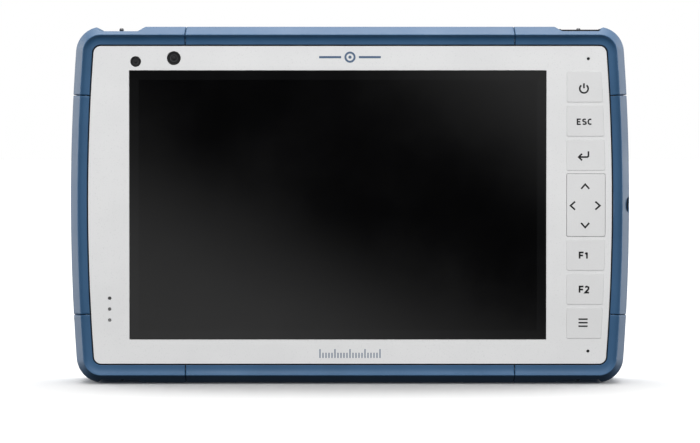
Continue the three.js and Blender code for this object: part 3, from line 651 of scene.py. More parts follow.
def display_glass():
    """Black display glass: the printed border is a little lighter than the picture area inside it."""
    material, tree, shader, place = blank("display_glass")
    low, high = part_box("cover_glass")
    axes = add_node(tree, "SeparateXYZ", {0: place})
    inside = 1.0
    for axis in (0, 2):
        away = maths(tree, "ABSOLUTE", maths(tree, "SUBTRACT", axes[axis], (low[axis] + high[axis]) / 2))
        reach = (high[axis] - low[axis]) / 2 - BORDER * MM
        within = ramp(tree, away, reach - 0.1 * MM, reach + 0.1 * MM, 1, 0)
        inside = maths(tree, "MULTIPLY", inside, within)
    colour = mix(tree, inside, (0.0034, 0.0035, 0.0038), (0.0010, 0.0010, 0.0012))
    gloss = ramp(tree, noise(tree, place, 22, 5), 0.35, 0.75, 0.07, 0.13)
    fill(shader, {"Base Color": colour, "Roughness": gloss, "IOR": 1.5})
    return material


def circuit_board():
    """Green solder mask with copper tracks showing as a fine raised grid."""
    material, tree, shader, place = blank("circuit_board")
    cells = add_node(tree, "TexVoronoi", {"Vector": place, "Scale": 260}, distance="MANHATTAN")
    tracks = ramp(tree, cells["Distance"], 0.35, 0.42, 0, 1)
    colour = mix(tree, tracks, (0.012, 0.10, 0.05), (0.03, 0.19, 0.09))
    fill(shader, {"Base Color": colour, "Roughness": 0.4, "Normal": bump(tree, tracks, 0.03, 1.0)})
    return material


# The look of each material slot, and then the looks that single pieces have of their own.
LOOKS = {
    "bumper": moulded("bumper_blue", (0.013, 0.074, 0.168), (0.019, 0.086, 0.190), 0.6, depth=0.03,
                      specular=1.0, wear=(0.10, 0.19, 0.33)),
    "overlay": moulded("overlay_grey", (0.735, 0.738, 0.742), (0.765, 0.767, 0.77), 0.5, 3200, 0.008,
                       speckle=(0.66, 0.665, 0.67)),
    "key_cap": moulded("key_grey", (0.70, 0.702, 0.705), (0.725, 0.727, 0.73), 0.48, 3200, 0.008,
                       speckle=(0.64, 0.645, 0.65)),
    "case_plastic": moulded("case_black", (0.020, 0.021, 0.023), (0.028, 0.029, 0.032), 0.55, 1500, 0.09,
                            wear=(0.06, 0.062, 0.066)),
    "port_rubber": moulded("port_rubber", (0.012, 0.012, 0.013), (0.018, 0.018, 0.019), 0.62, 1900, 0.05,
                           wear=(0.045, 0.045, 0.048)),
    "seal": moulded("seal_black", (0.010, 0.010, 0.011), (0.016, 0.016, 0.017), 0.7, 1800, 0.03),
    "battery_case": moulded("battery_case", (0.030, 0.032, 0.036), (0.045, 0.047, 0.052), 0.5, 1400, 0.03),
    "antenna": moulded("antenna", (0.42, 0.34, 0.21), (0.52, 0.43, 0.27), 0.6, 900, 0.03),
    "display_glass": display_glass(),
    "display_panel": glossy("display_panel", (0.004, 0.004, 0.005), (0.007, 0.007, 0.008), 0.25),
    "lens": glossy("lens_black", (0.003, 0.003, 0.004), (0.006, 0.006, 0.009), 0.05, 0.6),
    "light_pipe": glossy("light_pipe", (0.085, 0.088, 0.092), (0.13, 0.133, 0.137), 0.25),
    "steel": metal("steel", (0.42, 0.42, 0.43), (0.62, 0.62, 0.62), 0.32, (1, 6, 1)),
    "chassis_metal": metal("chassis_metal", (0.36, 0.37, 0.38), (0.50, 0.51, 0.52), 0.5, scale=1600,
                           depth=0.02),
    "contacts": metal("contacts", (0.62, 0.42, 0.14), (0.80, 0.60, 0.26), 0.3, (1, 4, 1)),
    "circuit_board": circuit_board(),
}
INK = moulded("legend_ink", (0.010, 0.0105, 0.012), (0.016, 0.0165, 0.018), 0.6, 4000, 0.004, specular=0.25)
MARK_INK = moulded("mark_ink", (0.075, 0.125, 0.21), (0.09, 0.145, 0.235), 0.5, 4000, 0.004)
PRINT = moulded("latch_print", (0.62, 0.62, 0.61), (0.70, 0.70, 0.69), 0.5, 3000, 0.004)
POINTER = moulded("latch_pointer", (0.42, 0.05, 0.03), (0.50, 0.07, 0.04), 0.5, 3000, 0.004)
GRILLE = moulded("speaker_grille", (0.02, 0.02, 0.021), (0.035, 0.035, 0.037), 0.45, 2600, 0.12)
LABEL = moulded("battery_label", (0.34, 0.345, 0.35), (0.40, 0.405, 0.41), 0.5, 3000, 0.004)
SENSOR = glossy("sensor_black", (0.006, 0.006, 0.007), (0.010, 0.010, 0.011), 0.3)
LAMP = glossy("flash_lamp", (0.62, 0.56, 0.34), (0.74, 0.68, 0.44), 0.15, 0.5)
DARK_STEEL = metal("dark_steel", (0.10, 0.10, 0.105), (0.20, 0.20, 0.21), 0.24, (1, 1, 6))
PLATE = metal("blank_plate", (0.45, 0.455, 0.46), (0.56, 0.565, 0.57), 0.42, (1, 1, 9), 700, 0.01)

# Every CAD node takes its slot's look; pieces built below stand in for some of the nodes.
for cad_node, cad_slot in SLOT_OF.items():
    cad_mesh = frame["nodes"][cad_node].data
    cad_mesh.materials.clear()
    cad_mesh.materials.append(LOOKS[cad_slot])

# ---------------- the bumper ring

for level, sign_z in (("top", 1), ("bottom", -1)):
    for side, sign_x in (("left", -1), ("right", 1)):
        corner_bumper(f"corner_bumper_{level}_{side}", sign_x, sign_z)
    flat_rail(f"rail_{level}", sign_z)
stand_in("rail_left", "moulded", side_rail_mesh(-1))

PORT_EDGE = {"front": -8.0, "back": 14.8, "half": 28.0, "depth": 2.5}
PORT_MOUTH = {"front": -5.6, "back": 8.6, "half": 25.0, "floor": 92.6}
PORT_HINGE = {"x": 105.6, "y": 11.8, "barrel": 1.25, "front": 9.9, "half": 27.6, "lug_half": 11.7}
# The scoop's liner is a black lining that is painted shade: it stands in for the shade inside the finger
# scoop.
SCOOP = {"shade_liner": 0.85, "y": -14.2, "depth": 1.7, "reach": 2.9, "half": 3.4}


def side_patch(insets, depths, half):
    """A closed patch of the right side between two insets, two depths and two heights."""
    section = [(insets[0], depths[0]), (insets[1], depths[0]), (insets[1], depths[1]), (insets[0], depths[1])]
    points, faces = sweep(bow_stations(spread(-half, half, 3)), section)
    return to_mesh(points, faces)


def scoop_mesh(scale=1.0):
    """The finger scoop in front of the port door, as an ellipsoid."""
    rows = 16
    half, reach = SCOOP["half"] * scale, SCOOP["reach"] * scale
    profile = [(0, SCOOP["y"] + reach)]
    for i in range(1, rows):
        polar = math.pi * i / rows
        profile.append((half * math.sin(polar), SCOOP["y"] + reach * math.cos(polar)))
    mesh = lathe_mesh(profile + [(0, SCOOP["y"] - reach)], (HALF_WIDTH, 0))
    for vertex in mesh.vertices:
        vertex.co.x = (vertex.co.x - HALF_WIDTH * MM) * SCOOP["depth"] / SCOOP["half"] + HALF_WIDTH * MM
    return mesh


def right_rail():
    """The rail with the port door's seat, mouth and hinge channel, and the finger scoop, whose black lining
    is painted shade.
    """
    edge, mouth, hinge = PORT_EDGE, PORT_MOUTH, PORT_HINGE
    x, y = hinge["x"], hinge["y"]
    reach, past = hinge["barrel"] + 0.3, HALF_WIDTH + 1
    seat = side_patch((-1, edge["depth"]), (edge["front"], edge["back"]), edge["half"])
    bay = ((mouth["floor"], past), (mouth["front"], mouth["back"]), (-mouth["half"], mouth["half"]))
    channel = ((x - reach, past), (hinge["front"], y + reach), (-hinge["half"], hinge["half"]))
    cutters = [seat, boxes_mesh([bay]), boxes_mesh([channel]), scoop_mesh()]
    stand_in("rail_right", "moulded", combined(side_rail_mesh(1), cutters))
    half = hinge["lug_half"]
    barrel = lathe_mesh(pin_profile(hinge["barrel"], -half, half, 0.25), (x, y), "z", 40)
    web = boxes_mesh([((x - reach - 0.6, x - 0.2), (y - 0.55, y + 0.55), (0.1 - half, half - 0.1))])
    new_object("port_lug", combined(barrel, [web], "UNION"), "bumper")
    # Painted shade: a black rubber lining put in the finger scoop where its shade falls.
    outside = boxes_mesh([((HALF_WIDTH - SCOOP["shade_liner"], HALF_WIDTH + 5), (-25, 0), (-6, 6))])
    shade_liner = combined(scoop_mesh(0.99), [scoop_mesh(0.75), outside])
    new_object("scoop_shade_liner", shade_liner, "port_rubber")


right_rail()

# ---------------- front overlay

OVERLAY_FACE = OVERLAY_LOW.y
OVERLAY_INSET = LIP + 0.55
PAD_LOW, PAD_HIGH = box_mm("key_pad")
KEY_FACE, KEY_REAR = PAD_LOW.y, PAD_HIGH.y
KEY_INSET = HALF_WIDTH - PAD_HIGH.x  # the keys' right edges, from the bowed side
KEYS = ["key_" + word for word in ("power", "escape", "enter", "pad", "f1", "f2", "menu")]


def key_outline(node, margin):
    """A key's outline: square at the left, following the bowed side at the right."""
    low, high = box_mm(node)
    left, z0, z1 = low.x - margin, low.z + KEY_TRIM - margin, high.z - KEY_TRIM + margin
    right = [BOW_CENTRE + math.sqrt(SIDE_BOW**2 - z * z) - KEY_INSET + margin for z in (z0, z1)]
    return rounded([(left, z0), (right[0], z0), (right[1], z1), (left, z1)], KEY_ROUND)


def overlay_outline(inset):
    """The closed outline at an inset, drawn in a little more along the top and bottom."""
    quarter = bow_stations(spread(0, SIDE_END, 8))[:-1] + fillet_stations(8)
    drawn_in = 1 - LIP_EXTRA / (HALF_HEIGHT - inset)
    stations = [(x - inset * nx, (z - inset * nz) * drawn_in) for (x, z), (nx, nz) in quarter]
    upper = stations + [(-x, z) for x, z in reversed(stations)]
    return upper + [(-x, -z) for x, z in upper[1:-1]]


def front_overlay():
    """The bezel, pierced for the glass, the lenses, the lights, the microphones and the keys."""
    low, high = box_mm("cover_glass")
    gap = 0.12
    loops = [overlay_outline(OVERLAY_INSET), rectangle(low.x - gap, high.x + gap, low.z - gap, high.z + gap)]
    for node in ("front_camera", "light_sensor"):
        loops.append(circle(*middle(node), radius_of(node) + 0.15, 40))
    for number in (1, 2, 3):
        node = f"light_pipe_{number}"
        loops.append(circle(*middle(node), radius_of(node, "z") + 0.06))
    for node in ("microphone_top", "microphone_bottom"):
        loops.append(circle(*middle(node), 0.6))
    loops += [key_outline(node, PAD_SLACK if node == "key_pad" else KEY_SLACK) for node in KEYS]
    mesh = plate_mesh(loops, OVERLAY_FACE, OVERLAY_HIGH.y, 0.07)
    stand_in("front_overlay", "plate", mesh)


def overlay_gasket():
    """The dark seal that shows in the gap between the overlay and the bumper."""
    ring = [overlay_outline(LIP - 1.0), overlay_outline(OVERLAY_INSET + 1.0)]
    mesh = plate_mesh(ring, OVERLAY_HIGH.y + 0.03, OVERLAY_HIGH.y + 0.27, 0.05, 1)
    new_object("overlay_gasket", mesh, "seal")


front_overlay()
overlay_gasket()

# ---------------- keys, legends and marks

LINE = 0.64  # width of a legend's lines
# Letters and numbers as lines in a box one unit wide and one unit tall.
GLYPHS = {
    "E": [[(1, 0), (0, 0), (0, 1), (1, 1)], [(0, 0.5), (0.85, 0.5)]],
    "S": [[(0, 0.04), (0.62, 0), (1, 0.14), (0.96, 0.4), (0.1, 0.62), (0.04, 0.86), (0.4, 1), (0.95, 0.95)]],
    "C": [[(1, 0.06), (0.55, 0), (0.14, 0.16), (0, 0.5), (0.14, 0.84), (0.55, 1), (1, 0.94)]],
    "F": [[(0, 0), (0, 1), (1, 1)], [(0, 0.5), (0.88, 0.5)]],
    "1": [[(0.02, 0.74), (0.42, 0.96)], [(0.46, 0), (0.46, 1)]],
    "2": [[(0, 0.86), (0.4, 1), (0.88, 0.86), (0.86, 0.58), (0.04, 0), (1, 0)]],
}
# Places and sizes of the legends; a drop or a lift is from the key's middle.
POWER = {"x": 89.5, "drop": 0.7, "ring": 1.62, "opening": 38, "bar": (0.15, 2.05)}
ESCAPE = {"x": 89.7, "drop": 0.3, "height": 1.95, "width": 1.25, "spacing": 0.8, "line": 0.54}
ENTER = {"x": 89.3, "drop": 0.2, "reach": 1.95, "top": 1.65, "level": -0.55, "head": 1.25}
PAD = {"x": 90.05, "z": -0.2, "side": 4.75, "up": 7.3, "down": 7.5}
CHEVRON = {"width": 3.1, "rise": 1.75}
FUNCTION = {"x": 89.75, "drop": 0.15, "height": 2.35, "width": 1.5, "spacing": 0.62, "line": 0.66}
MENU = {"x": 89.3, "lift": 0.2, "half": 1.75, "pitch": 1.35, "bar": 0.29}


def legend(word, loops):
    """Lines printed on a key's face, riding on the key."""
    new_object("legend_" + word, prints_mesh(loops, KEY_FACE), "key_cap", INK, BODY_OF["key_" + word])


def word_legend(key, letters, style):
    """Plain letters of the style's size, centred on its place."""
    z = middle("key_" + key)[1] - style["drop"]
    width, height, step = style["width"], style["height"], style["width"] + style["spacing"]
    start = style["x"] - step * (len(letters) - 1) / 2 - width / 2
    loops = []
    for place, letter in enumerate(letters):
        for path in GLYPHS[letter]:
            points = [(start + step * place + a * width, z + (b - 0.5) * height) for a, b in path]
            loops.append(stroke(points, style["line"]))
    legend(key, loops)


def chevron(x, z, turn):
    """A chevron pointing up, turned by quarter turns."""
    half, rise = CHEVRON["width"] / 2, CHEVRON["rise"] / 2
    points = [(-half, -rise), (0, rise), (half, -rise)]
    for _ in range(turn):
        points = [(b, -a) for a, b in points]
    return stroke([(x + a, z + b) for a, b in points], LINE)


def power_legend():
    x, z = POWER["x"], middle("key_power")[1] - POWER["drop"]
    ring = stroke(arc((x, z), POWER["ring"], 90 + POWER["opening"], 450 - POWER["opening"], 30), LINE)
    bar = stroke([(x, z + end) for end in POWER["bar"]], LINE)
    legend("power", [ring, bar])


def enter_legend():
    """An arrow that comes down, bends by a short corner and points left."""
    x, z = ENTER["x"], middle("key_enter")[1] - ENTER["drop"]
    right, level, head = x + ENTER["reach"], z + ENTER["level"], ENTER["head"]
    hook = [(right, z + ENTER["top"]), (right, level + 0.35), (right - 0.35, level), (x - 1.7, level)]
    arrow = [(x - 0.5, level + head), (x - 1.8, level), (x - 0.5, level - head)]
    legend("enter", [stroke(hook, LINE), stroke(arrow, LINE)])


def pad_legend():
    x, z, side = PAD["x"], PAD["z"], PAD["side"]
    places = [(x, z + PAD["up"]), (x + side, z), (x, z - PAD["down"]), (x - side, z)]
    legend("pad", [chevron(*place, turn) for turn, place in enumerate(places)])


def menu_legend():
    x, z, half, bar = MENU["x"], middle("key_menu")[1] + MENU["lift"], MENU["half"], MENU["bar"]
    rows = [z + k * MENU["pitch"] for k in (-1, 0, 1)]
    legend("menu", [rectangle(x - half, x + half, row - bar, row + bar) for row in rows])


def overlay_marks():
    """Plain marks in place of lettering: a level line with a ring above, a short rule below."""
    z = 56.6
    ring = stroke(arc((0, z), 1.75, 0, 360, 40), 0.75)
    lines = [rectangle(start, start + 8.4, z - 0.42, z + 0.42) for start in (-11.8, 3.4)]
    mesh = prints_mesh([ring, circle(0, z, 0.6), *lines], OVERLAY_FACE)
    new_object("mark_level", mesh, "overlay", MARK_INK)
    foot, pitch = -58.6, 1.15
    ticks = []
    for i in range(-10, 11):
        tall = 3.4 if i % 5 == 0 else 2.0
        ticks.append(rectangle(i * pitch - 0.2, i * pitch + 0.2, foot, foot + tall))
    new_object("mark_rule", prints_mesh(ticks, OVERLAY_FACE), "overlay", MARK_INK)


for key_node in KEYS:
    key_mesh = plate_mesh([key_outline(key_node, 0)], KEY_FACE, KEY_REAR, 0.09)
    stand_in(key_node, "top", key_mesh)
power_legend()
word_legend("escape", "ESC", ESCAPE)
enter_legend()
pad_legend()
word_legend("f1", "F1", FUNCTION)
word_legend("f2", "F2", FUNCTION)
menu_legend()
overlay_marks()

# ---------------- display and sensors

# Profiles as shares of the radius, with depths behind the face.
BARREL = [(0, 0.26), (0.24, 0.27), (0.3, 0.34), (0.36, 0.34), (0.4, 0.24), (0.66, 0.2), (0.7, 0.28),
          (0.76, 0.28), (0.8, 0.1), (0.97, 0.06), (1, 0.14)]
BARREL_RING = [(0.46, 0.26), (0.46, 0.16), (0.6, 0.16), (0.6, 0.26), (0.46, 0.26)]
PIPE_TIP = [(0, -0.08), (0.6, -0.04), (1, 0.1)]
PIPE_TONES = (0.055, 0.11, 0.17)  # the three lights, from the top down
SCREEN_RADIUS = 0.53
PIN_HEAD = [(0, 0), (0.45, 0.08), (0.85, 0.38), (1, 0.8), (0.95, 1.05), (0.7, 1.15), (0.7, 1.3), (1, 1.4)]


def display():
    low, high = box_mm("cover_glass")
    mesh = plate_mesh([rectangle(low.x, high.x, low.z, high.z)], low.y, high.y)
    stand_in("cover_glass", "sheet", mesh)


def lens(node):
    """A small lens behind its window: a rim, a stepped barrel and a domed middle."""
    low, high = box_mm(node)
    radius = radius_of(node)
    barrel = [(radius * share, low.y + depth) for share, depth in BARREL] + [(radius, high.y), (0, high.y)]
    stand_in(node, "barrel", lathe_mesh(barrel, middle(node), steps=48), SENSOR)
    ring = [(radius * share, low.y + depth) for share, depth in BARREL_RING]
    new_object(node + "_ring", lathe_mesh(ring, middle(node), steps=48), "case_plastic")


def light_pipe(number, tone):
    node = f"light_pipe_{number}"
    low, high = box_mm(node)
    radius = radius_of(node, "z")
    profile = [(radius * share, low.y + depth) for share, depth in PIPE_TIP] + [(radius, high.y), (0, high.y)]
    look = glossy(node + "_look", (tone, tone, tone), (tone * 1.3, tone * 1.3, tone * 1.3), 0.25)
    stand_in(node, "tip", lathe_mesh(profile, middle(node)), look)


def microphone_screen(node):
    """The dark cloth behind a microphone hole."""
    front, back, radius = OVERLAY_FACE + 0.25, OVERLAY_HIGH.y, SCREEN_RADIUS
    profile = [(0, front), (radius - 0.08, front + 0.02), (radius, front + 0.1), (radius, back), (0, back)]
    new_object(node + "_screen", lathe_mesh(profile, middle(node)), "seal")


display()
microphone_screen("microphone_top")
microphone_screen("microphone_bottom")
lens("front_camera")
lens("light_sensor")
for light_number, light_tone in enumerate(PIPE_TONES, 1):
    light_pipe(light_number, light_tone)

# ---------------- strap pins and notch lining


def strap_pin(node, sign_z):
    """A turned pin with a collar and a rounded head, standing in its notch."""
    low, high = box_mm(node)
    radius = radius_of(node)
    tip, root = (high.z, low.z) if sign_z > 0 else (low.z, high.z)
    profile = [(radius * share, tip - sign_z * drop) for share, drop in PIN_HEAD]
    profile += [(radius, root), (0, root)]
    mesh = lathe_mesh(profile, ((low.x + high.x) / 2, (low.y + high.y) / 2), "z", 32)
    stand_in(node, "turned", mesh, DARK_STEEL)


def notch_lining():
    """The black liner that follows the top right strap notch's floor behind the blue edge."""
    highest, lift, sunk = HALF_HEIGHT - 1.0, 0.85, 0.5
    places = [x for x in spread(NOTCH_INNER, NOTCH_OUTER, 0.1) if notch_floor(x, 1) < highest]
    outer = [(x, min(notch_floor(x, 1) + lift, highest + 0.15)) for x in places]
    inner = [(x, notch_floor(x, 1) - sunk) for x in reversed(places)]
    new_object("notch_lining", plate_mesh([outer + inner], -11.0, 9.0, 0.1, 1), "seal")


for level, sign_z in (("top", 1), ("bottom", -1)):
    for side in ("left", "right"):
        strap_pin(f"strap_pin_{level}_{side}", sign_z)
notch_lining()

# ---------------- port door and sockets


def hinge_pin(node, axis):
    """A turned pin with domed ends in place of a straight one."""
    low, high = box_mm(node)
    along = "xyz".index(axis)
    first, second = [k for k in range(3) if k != along]
    centre = ((low[first] + high[first]) / 2, (low[second] + high[second]) / 2)
    profile = pin_profile((high[first] - low[first]) / 2, low[along], high[along])
    stand_in(node, "turned", lathe_mesh(profile, centre, axis))


def port_door():
    """The door with a sunk field and grip ribs in it, its knuckles and its hinge pin."""
    field = side_patch((-1, 0.4), (-5.4, 8.2), 25.2)
    softened_node("port_door", 0.28, 2, [field])
    ribs = []
    for (x, z), normal in bow_stations([i * 4.2 for i in range(-5, 6)]):
        x -= 0.42 * normal[0]
        ribs.append(((x - 0.1, x + 0.32), (-3.6, 6.4), (z - 0.55, z + 0.55)))
    new_object("port_door_ribs", boxes_mesh(ribs, 0.15), "port_rubber", body="port_cover")
    hinge_pin("port_door_pin", "z")


port_door()
softened_node("power_socket", 0.15)
softened_node("usb_a_socket", 0.15)
softened_node("usb_c_socket", 0.12)
softened_node("audio_socket", 0.15)

# ---------------- rear shell and battery door

SHELL_FACE = SHELL_HIGH.y
DOOR_FACE = box_mm("battery_door")[1].y
BAY_FRAME = {"half": 51, "low": -41.5, "high": 36.8, "width": 1.6}
GRIP = {"first": 60.5, "pitch": 3.6, "half": 0.75, "low": -31, "high": 27, "count": 8}
LATCH_X, LATCH_Z = 32, 26
DOT_REACH = 8.8  # the printed dots on both sides of a latch
REAR_PRINT = (-0.04, 0.03)  # reach of the prints on faces that look backwards


def rear_shell():
    """The shell with the battery bay's surround, the grip ribs, a blank plate and the hinge's apron."""
    softened_node("rear_shell", 0.35)
    half, low, high, width = BAY_FRAME.values()
    outer = rectangle(-half, half, low, high, 3)
    inner = rectangle(width - half, half - width, low + width, high - width, 2)
    mesh = plate_mesh([outer, inner], SHELL_FACE - 0.2, SHELL_FACE + 0.6, 0.25)
    new_object("bay_surround", mesh, "case_plastic")
    ribs = []
    for sign in (-1, 1):
        for i in range(GRIP["count"]):
            x = sign * (GRIP["first"] + i * GRIP["pitch"])
            sides = (x - GRIP["half"], x + GRIP["half"])
            ribs.append((sides, (SHELL_FACE - 0.2, SHELL_FACE + 0.7), (GRIP["low"], GRIP["high"])))
    new_object("grip_ribs", boxes_mesh(ribs, 0.35), "case_plastic")
    blank_outline = rectangle(-30, 30, -58.5, -46.5, 1.5)
    mesh = plate_mesh([blank_outline], SHELL_FACE - 0.1, SHELL_FACE + 0.18, 0.08)
    new_object("blank_plate", mesh, "overlay", PLATE)
    apron = boxes_mesh([((-46.6, 46.6), (13.6, 17.5), (-37.9, -36.75))], 0.3)
    new_object("hinge_apron", apron, "case_plastic")


def battery_door():
    """The door with its gasket, grip bars, printed latch marks and hinge pin."""
    softened_node("battery_door", 0.3)
    softened_node("battery_door_gasket", 0.12)
    depths = (DOOR_FACE - 0.2, DOOR_FACE + 0.55)
    bars = [((-36, 36), depths, (z - 1.1, z + 1.1)) for z in range(-24, 5, 7)]
    new_object("battery_door_bars", boxes_mesh(bars, 0.35), "case_plastic", body="battery_cover")
    marks = []
    for x in (-LATCH_X, LATCH_X):
        marks.append([(x - 0.9, LATCH_Z - 9), (x + 0.9, LATCH_Z - 9), (x, LATCH_Z - 7.4)])
        marks += [circle(x + reach, LATCH_Z, 0.6) for reach in (-DOT_REACH, DOT_REACH)]
    mesh = prints_mesh(marks, DOOR_FACE, *REAR_PRINT)
    new_object("latch_marks", mesh, "case_plastic", PRINT, body="battery_cover")
    hinge_pin("battery_door_pin", "x")


def latch(side, sign):
    """A quarter-turn latch: its CAD shape softened, and a red pointer dot on it."""
    node = f"battery_latch_{side}"
    softened_node(node, 0.2)
    face = box_mm(node)[1].y
    mesh = prints_mesh([circle(sign * (LATCH_X - 4.1), LATCH_Z, 0.55)], face, *REAR_PRINT)
    new_object(f"latch_pointer_{side}", mesh, "steel", POINTER, body=f"latch_{side}")


rear_shell()
battery_door()
latch("left", -1)
latch("right", 1)
for level in ("top", "bottom"):
    for side in ("left", "right"):
        softened_node(f"case_screw_{level}_{side}", 0.18)

# ---------------- rear camera, speaker and battery

# Profiles as radii, with depths behind the camera window's face.
REAR_RING = [(3.62, 0.1), (3.5, 0), (3.0, 0.02), (2.7, 0.5)]
REAR_DOME = [(0, 0.35), (1.0, 0.42), (1.9, 0.66), (2.3, 0.95), (2.62, 1.0)]
FLASH_DOME = [(0, 0.2), (0.9, 0.28), (1.55, 0.5), (1.8, 0.55)]
LENS_FROM_LEFT = 8.2
FLASH_FROM_RIGHT = 6.4


def rear_camera():
    """The window plate with the lens in its ring and the flash lamp."""
    low, high = box_mm("rear_camera_window")
    z = (low.z + high.z) / 2
    lens_at, flash_at = (low.x + LENS_FROM_LEFT, z), (high.x - FLASH_FROM_RIGHT, z)
    holes = [circle(*lens_at, 3.7, 48), circle(*flash_at, 1.9, 32)]
    mesh = plate_mesh([rectangle(low.x, high.x, low.z, high.z, 3), *holes], low.y, high.y, 0.15)
    new_object("rear_window_plate", mesh, "lens", replaced=["rear_camera_window"])
    ring, dome, lamp = [[(r, high.y - d) for r, d in part] for part in (REAR_RING, REAR_DOME, FLASH_DOME)]
    ring = [(0, low.y), (ring[0][0], low.y)] + ring + [(ring[-1][0], low.y), (0, low.y + 0.01)]
    new_object("rear_lens_ring", lathe_mesh(ring, lens_at, steps=48), "steel", DARK_STEEL)
    dome += [(dome[-1][0], low.y + 0.1), (0, low.y + 0.1)]
    new_object("rear_lens", lathe_mesh(dome, lens_at, steps=48), "lens")
    lamp += [(lamp[-1][0], low.y), (0, low.y)]
    new_object("rear_flash", lathe_mesh(lamp, flash_at, steps=32), "light_pipe", LAMP)
    softened_node("rear_camera", 0.3)


def speaker():
    softened_node("speaker", 0.4)
    low, high = box_mm("speaker")
    sheet = rectangle(low.x + 1, high.x - 1, low.z + 1, high.z - 1, 1)
    mesh = plate_mesh([sheet], high.y + 0.02, high.y + 0.26, 0.05, 1)
    new_object("speaker_mesh", mesh, "case_plastic", GRILLE)


def battery():
    """The pack with its label and the ridges that guide it."""
    face = box_mm("battery_pack")[1].y
    softened_node("battery_pack", 0.8, 3)
    label = plate_mesh([rectangle(-32, 32, -16, 16, 1.5)], face - 0.05, face + 0.12, 0.04, 1)
    new_object("battery_label", label, "battery_case", LABEL)
    ridges = [((x - 0.9, x + 0.9), (face - 0.3, face + 0.35), (-24, 24)) for x in (-40.5, -37, 37, 40.5)]
    new_object("battery_ridges", boxes_mesh(ridges, 0.25), "battery_case")


rear_camera()
speaker()
battery()

# ---------------- stage, lights and camera
# Lengths of the stage are in metres.

FRONT_SKY = 0.52  # brightness of the studio above the horizon, in front of the unit
SIDE_SKY = 0.45  # the share of it that is left at both sides
BACK_SKY = 0.5  # brightness behind the unit
BELOW = 0.05  # and below it
FLOOR_REACH = 60
CARD_Y = -2.6  # the graduated card behind the camera that the display mirrors
CARD_DARK = 0.004
# The card's two glows: direction across and up, where each starts and ends along it, brightness.
CARD_GLOWS = [((0.61, 0.79), 0.150, 0.300, 0.66), ((-0.43, -0.90), -0.02, 0.170, 0.76)]
# Soft boxes far behind the unit: direction, cosines of their outer and inner edge, brightness.
SOFT_BOXES = [
    ((0, 0.36, 0.93), 0.86, 0.97, 4.2),
    ((-0.88, 0.45, 0.15), 0.86, 0.97, 3.6),
    ((0.88, 0.45, 0.15), 0.86, 0.97, 3.6),
]
OBJECT_SHARE = 0.803  # how much of the frame's width the object takes
CAMERA_TILT = math.radians(1.2)
AIM_BELOW = 6.25  # how many millimetres under the unit's middle the camera looks


def stage_object(name, points, material):
    mesh = bpy.data.meshes.new(name)
    mesh.from_pydata(points, [], [(0, 1, 2, 3)])
    mesh.materials.append(material)
    piece = linked(name, mesh)
    return piece


def hide_from(piece, *rays):
    """Keeps an object out of the sight of some kinds of rays."""
    for ray in rays:
        setattr(piece, "visible_" + ray, False)


def floor():
    """A plain pale floor, reaching to the horizon on every side."""
    material = bpy.data.materials.new("floor_white")
    material.use_nodes = True
    shader = material.node_tree.nodes["Principled BSDF"]
    fill(shader, {"Base Color": (0.99, 0.99, 0.99, 1), "Roughness": 0.8, "Specular IOR Level": 0.0})
    reach = FLOOR_REACH
    plane = stage_object("floor", [(x, y, 0) for x, y in rectangle(-reach, reach, -reach, reach)], material)
    hide_from(plane, "diffuse", "glossy")
    return plane


def reflection_card():
    """A dark card, brighter towards two opposite corners, that only mirrors show."""
    material, tree, shader, place = blank("reflection_card")
    tree.nodes.remove(shader)
    axes = add_node(tree, "SeparateXYZ", {0: place})
    glow = CARD_DARK
    for (lean, rise), low, high, strength in CARD_GLOWS:
        across = maths(tree, "MULTIPLY", axes[0], lean)
        along = maths(tree, "ADD", across, maths(tree, "MULTIPLY", axes[2], rise))
        glow = maths(tree, "ADD", ramp(tree, along, low, high, 0, strength, "SMOOTHSTEP"), glow)
    fill(tree.nodes["Material Output"], {"Surface": add_node(tree, "Emission", {"Strength": glow})[0]})
    points = [(x, CARD_Y, z) for x, z in rectangle(-0.7, 0.7, -0.6, 0.7)]
    card = stage_object("reflection_card", points, material)
    hide_from(card, "camera", "diffuse", "shadow", "transmission")


def area_light(name, place, size, brightness, receivers, mirrored=True):
    """A soft box aimed at the middle of the unit, given by its surface brightness."""
    light = bpy.data.lights.new(name, "AREA")
    light.shape = "RECTANGLE"
    light.size, light.size_y = size
    light.energy = brightness * math.pi * size[0] * size[1]
    holder = linked(name, light)
    holder.location = place
    holder.rotation_euler = (Vector((0, 0, MIDDLE)) - Vector(place)).to_track_quat("-Z", "Y").to_euler()
    hide_from(holder, "camera")
    holder.visible_glossy = mirrored
    holder.light_linking.receiver_collection = receivers


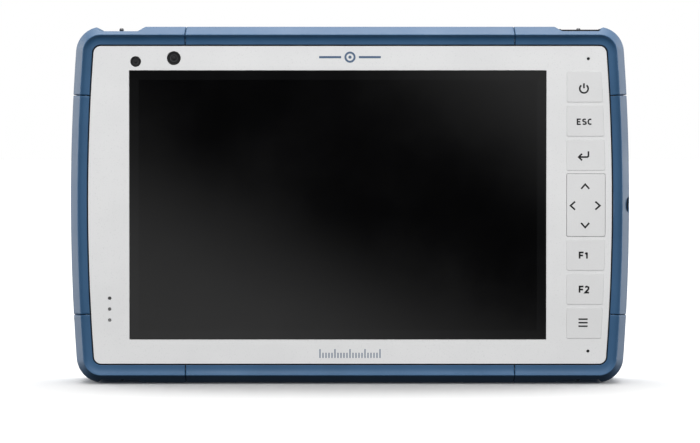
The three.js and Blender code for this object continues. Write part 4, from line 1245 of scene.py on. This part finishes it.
def lights(plane):
    """Two soft boxes for the unit; the floor is left out and takes its light from the sky."""
    receivers = bpy.data.collections.new("unlit_by_boxes")
    receivers.objects.link(plane)
    receivers.collection_objects[0].light_linking.link_state = "EXCLUDE"
    area_light("overhead", (0, -0.4, 0.75), (1.2, 0.5), 1.9, receivers)
    area_light("key", (0, -1.4, 0.80), (0.8, 0.5), 10.3, receivers, mirrored=False)


def studio():
    """Even white light from above the horizon, little from below it, and soft boxes behind."""
    world = bpy.data.worlds.new("studio")
    world.use_nodes = True
    tree = world.node_tree
    direction = add_node(tree, "TexCoord")["Generated"]
    axes = add_node(tree, "SeparateXYZ", {0: direction})
    sky = ramp(tree, axes[1], -0.35, 0.35, FRONT_SKY, BACK_SKY, "SMOOTHSTEP")
    sides = ramp(tree, maths(tree, "ABSOLUTE", axes[0]), 0.45, 0.85, 1, SIDE_SKY, "SMOOTHSTEP")
    rise = ramp(tree, axes[2], -0.25, 0.0, 0, 1)
    light = maths(tree, "ADD", maths(tree, "MULTIPLY", maths(tree, "MULTIPLY", sky, sides), rise), BELOW)
    for aim, outer, inner, strength in SOFT_BOXES:
        towards = add_node(tree, "VectorMath", {0: direction, 1: aim}, operation="DOT_PRODUCT")["Value"]
        light = maths(tree, "ADD", light, ramp(tree, towards, outer, inner, 0, strength, "SMOOTHSTEP"))
    # The camera sees a plain white backdrop.
    seen = maths(tree, "MAXIMUM", light, add_node(tree, "LightPath")["Is Camera Ray"])
    fill(tree.nodes["Background"], {"Strength": seen, "Color": (1, 1, 1, 1)})
    bpy.context.scene.world = world
    bpy.context.scene.view_settings.view_transform = "Standard"


def camera():
    data = bpy.data.cameras.new("camera")
    data.lens = 160
    data.sensor_width = 36
    holder = linked("camera", data)
    distance = HALF_WIDTH * 2 * MM / OBJECT_SHARE * data.lens / data.sensor_width
    aim = Vector((0, -HALF_DEPTH * MM, MIDDLE - AIM_BELOW * MM))
    holder.location = aim + Vector((0, -math.cos(CAMERA_TILT), math.sin(CAMERA_TILT))) * distance
    holder.rotation_euler = (aim - holder.location).to_track_quat("-Z", "Y").to_euler()
    bpy.context.scene.camera = holder


ground = floor()
reflection_card()
lights(ground)
studio()
camera()
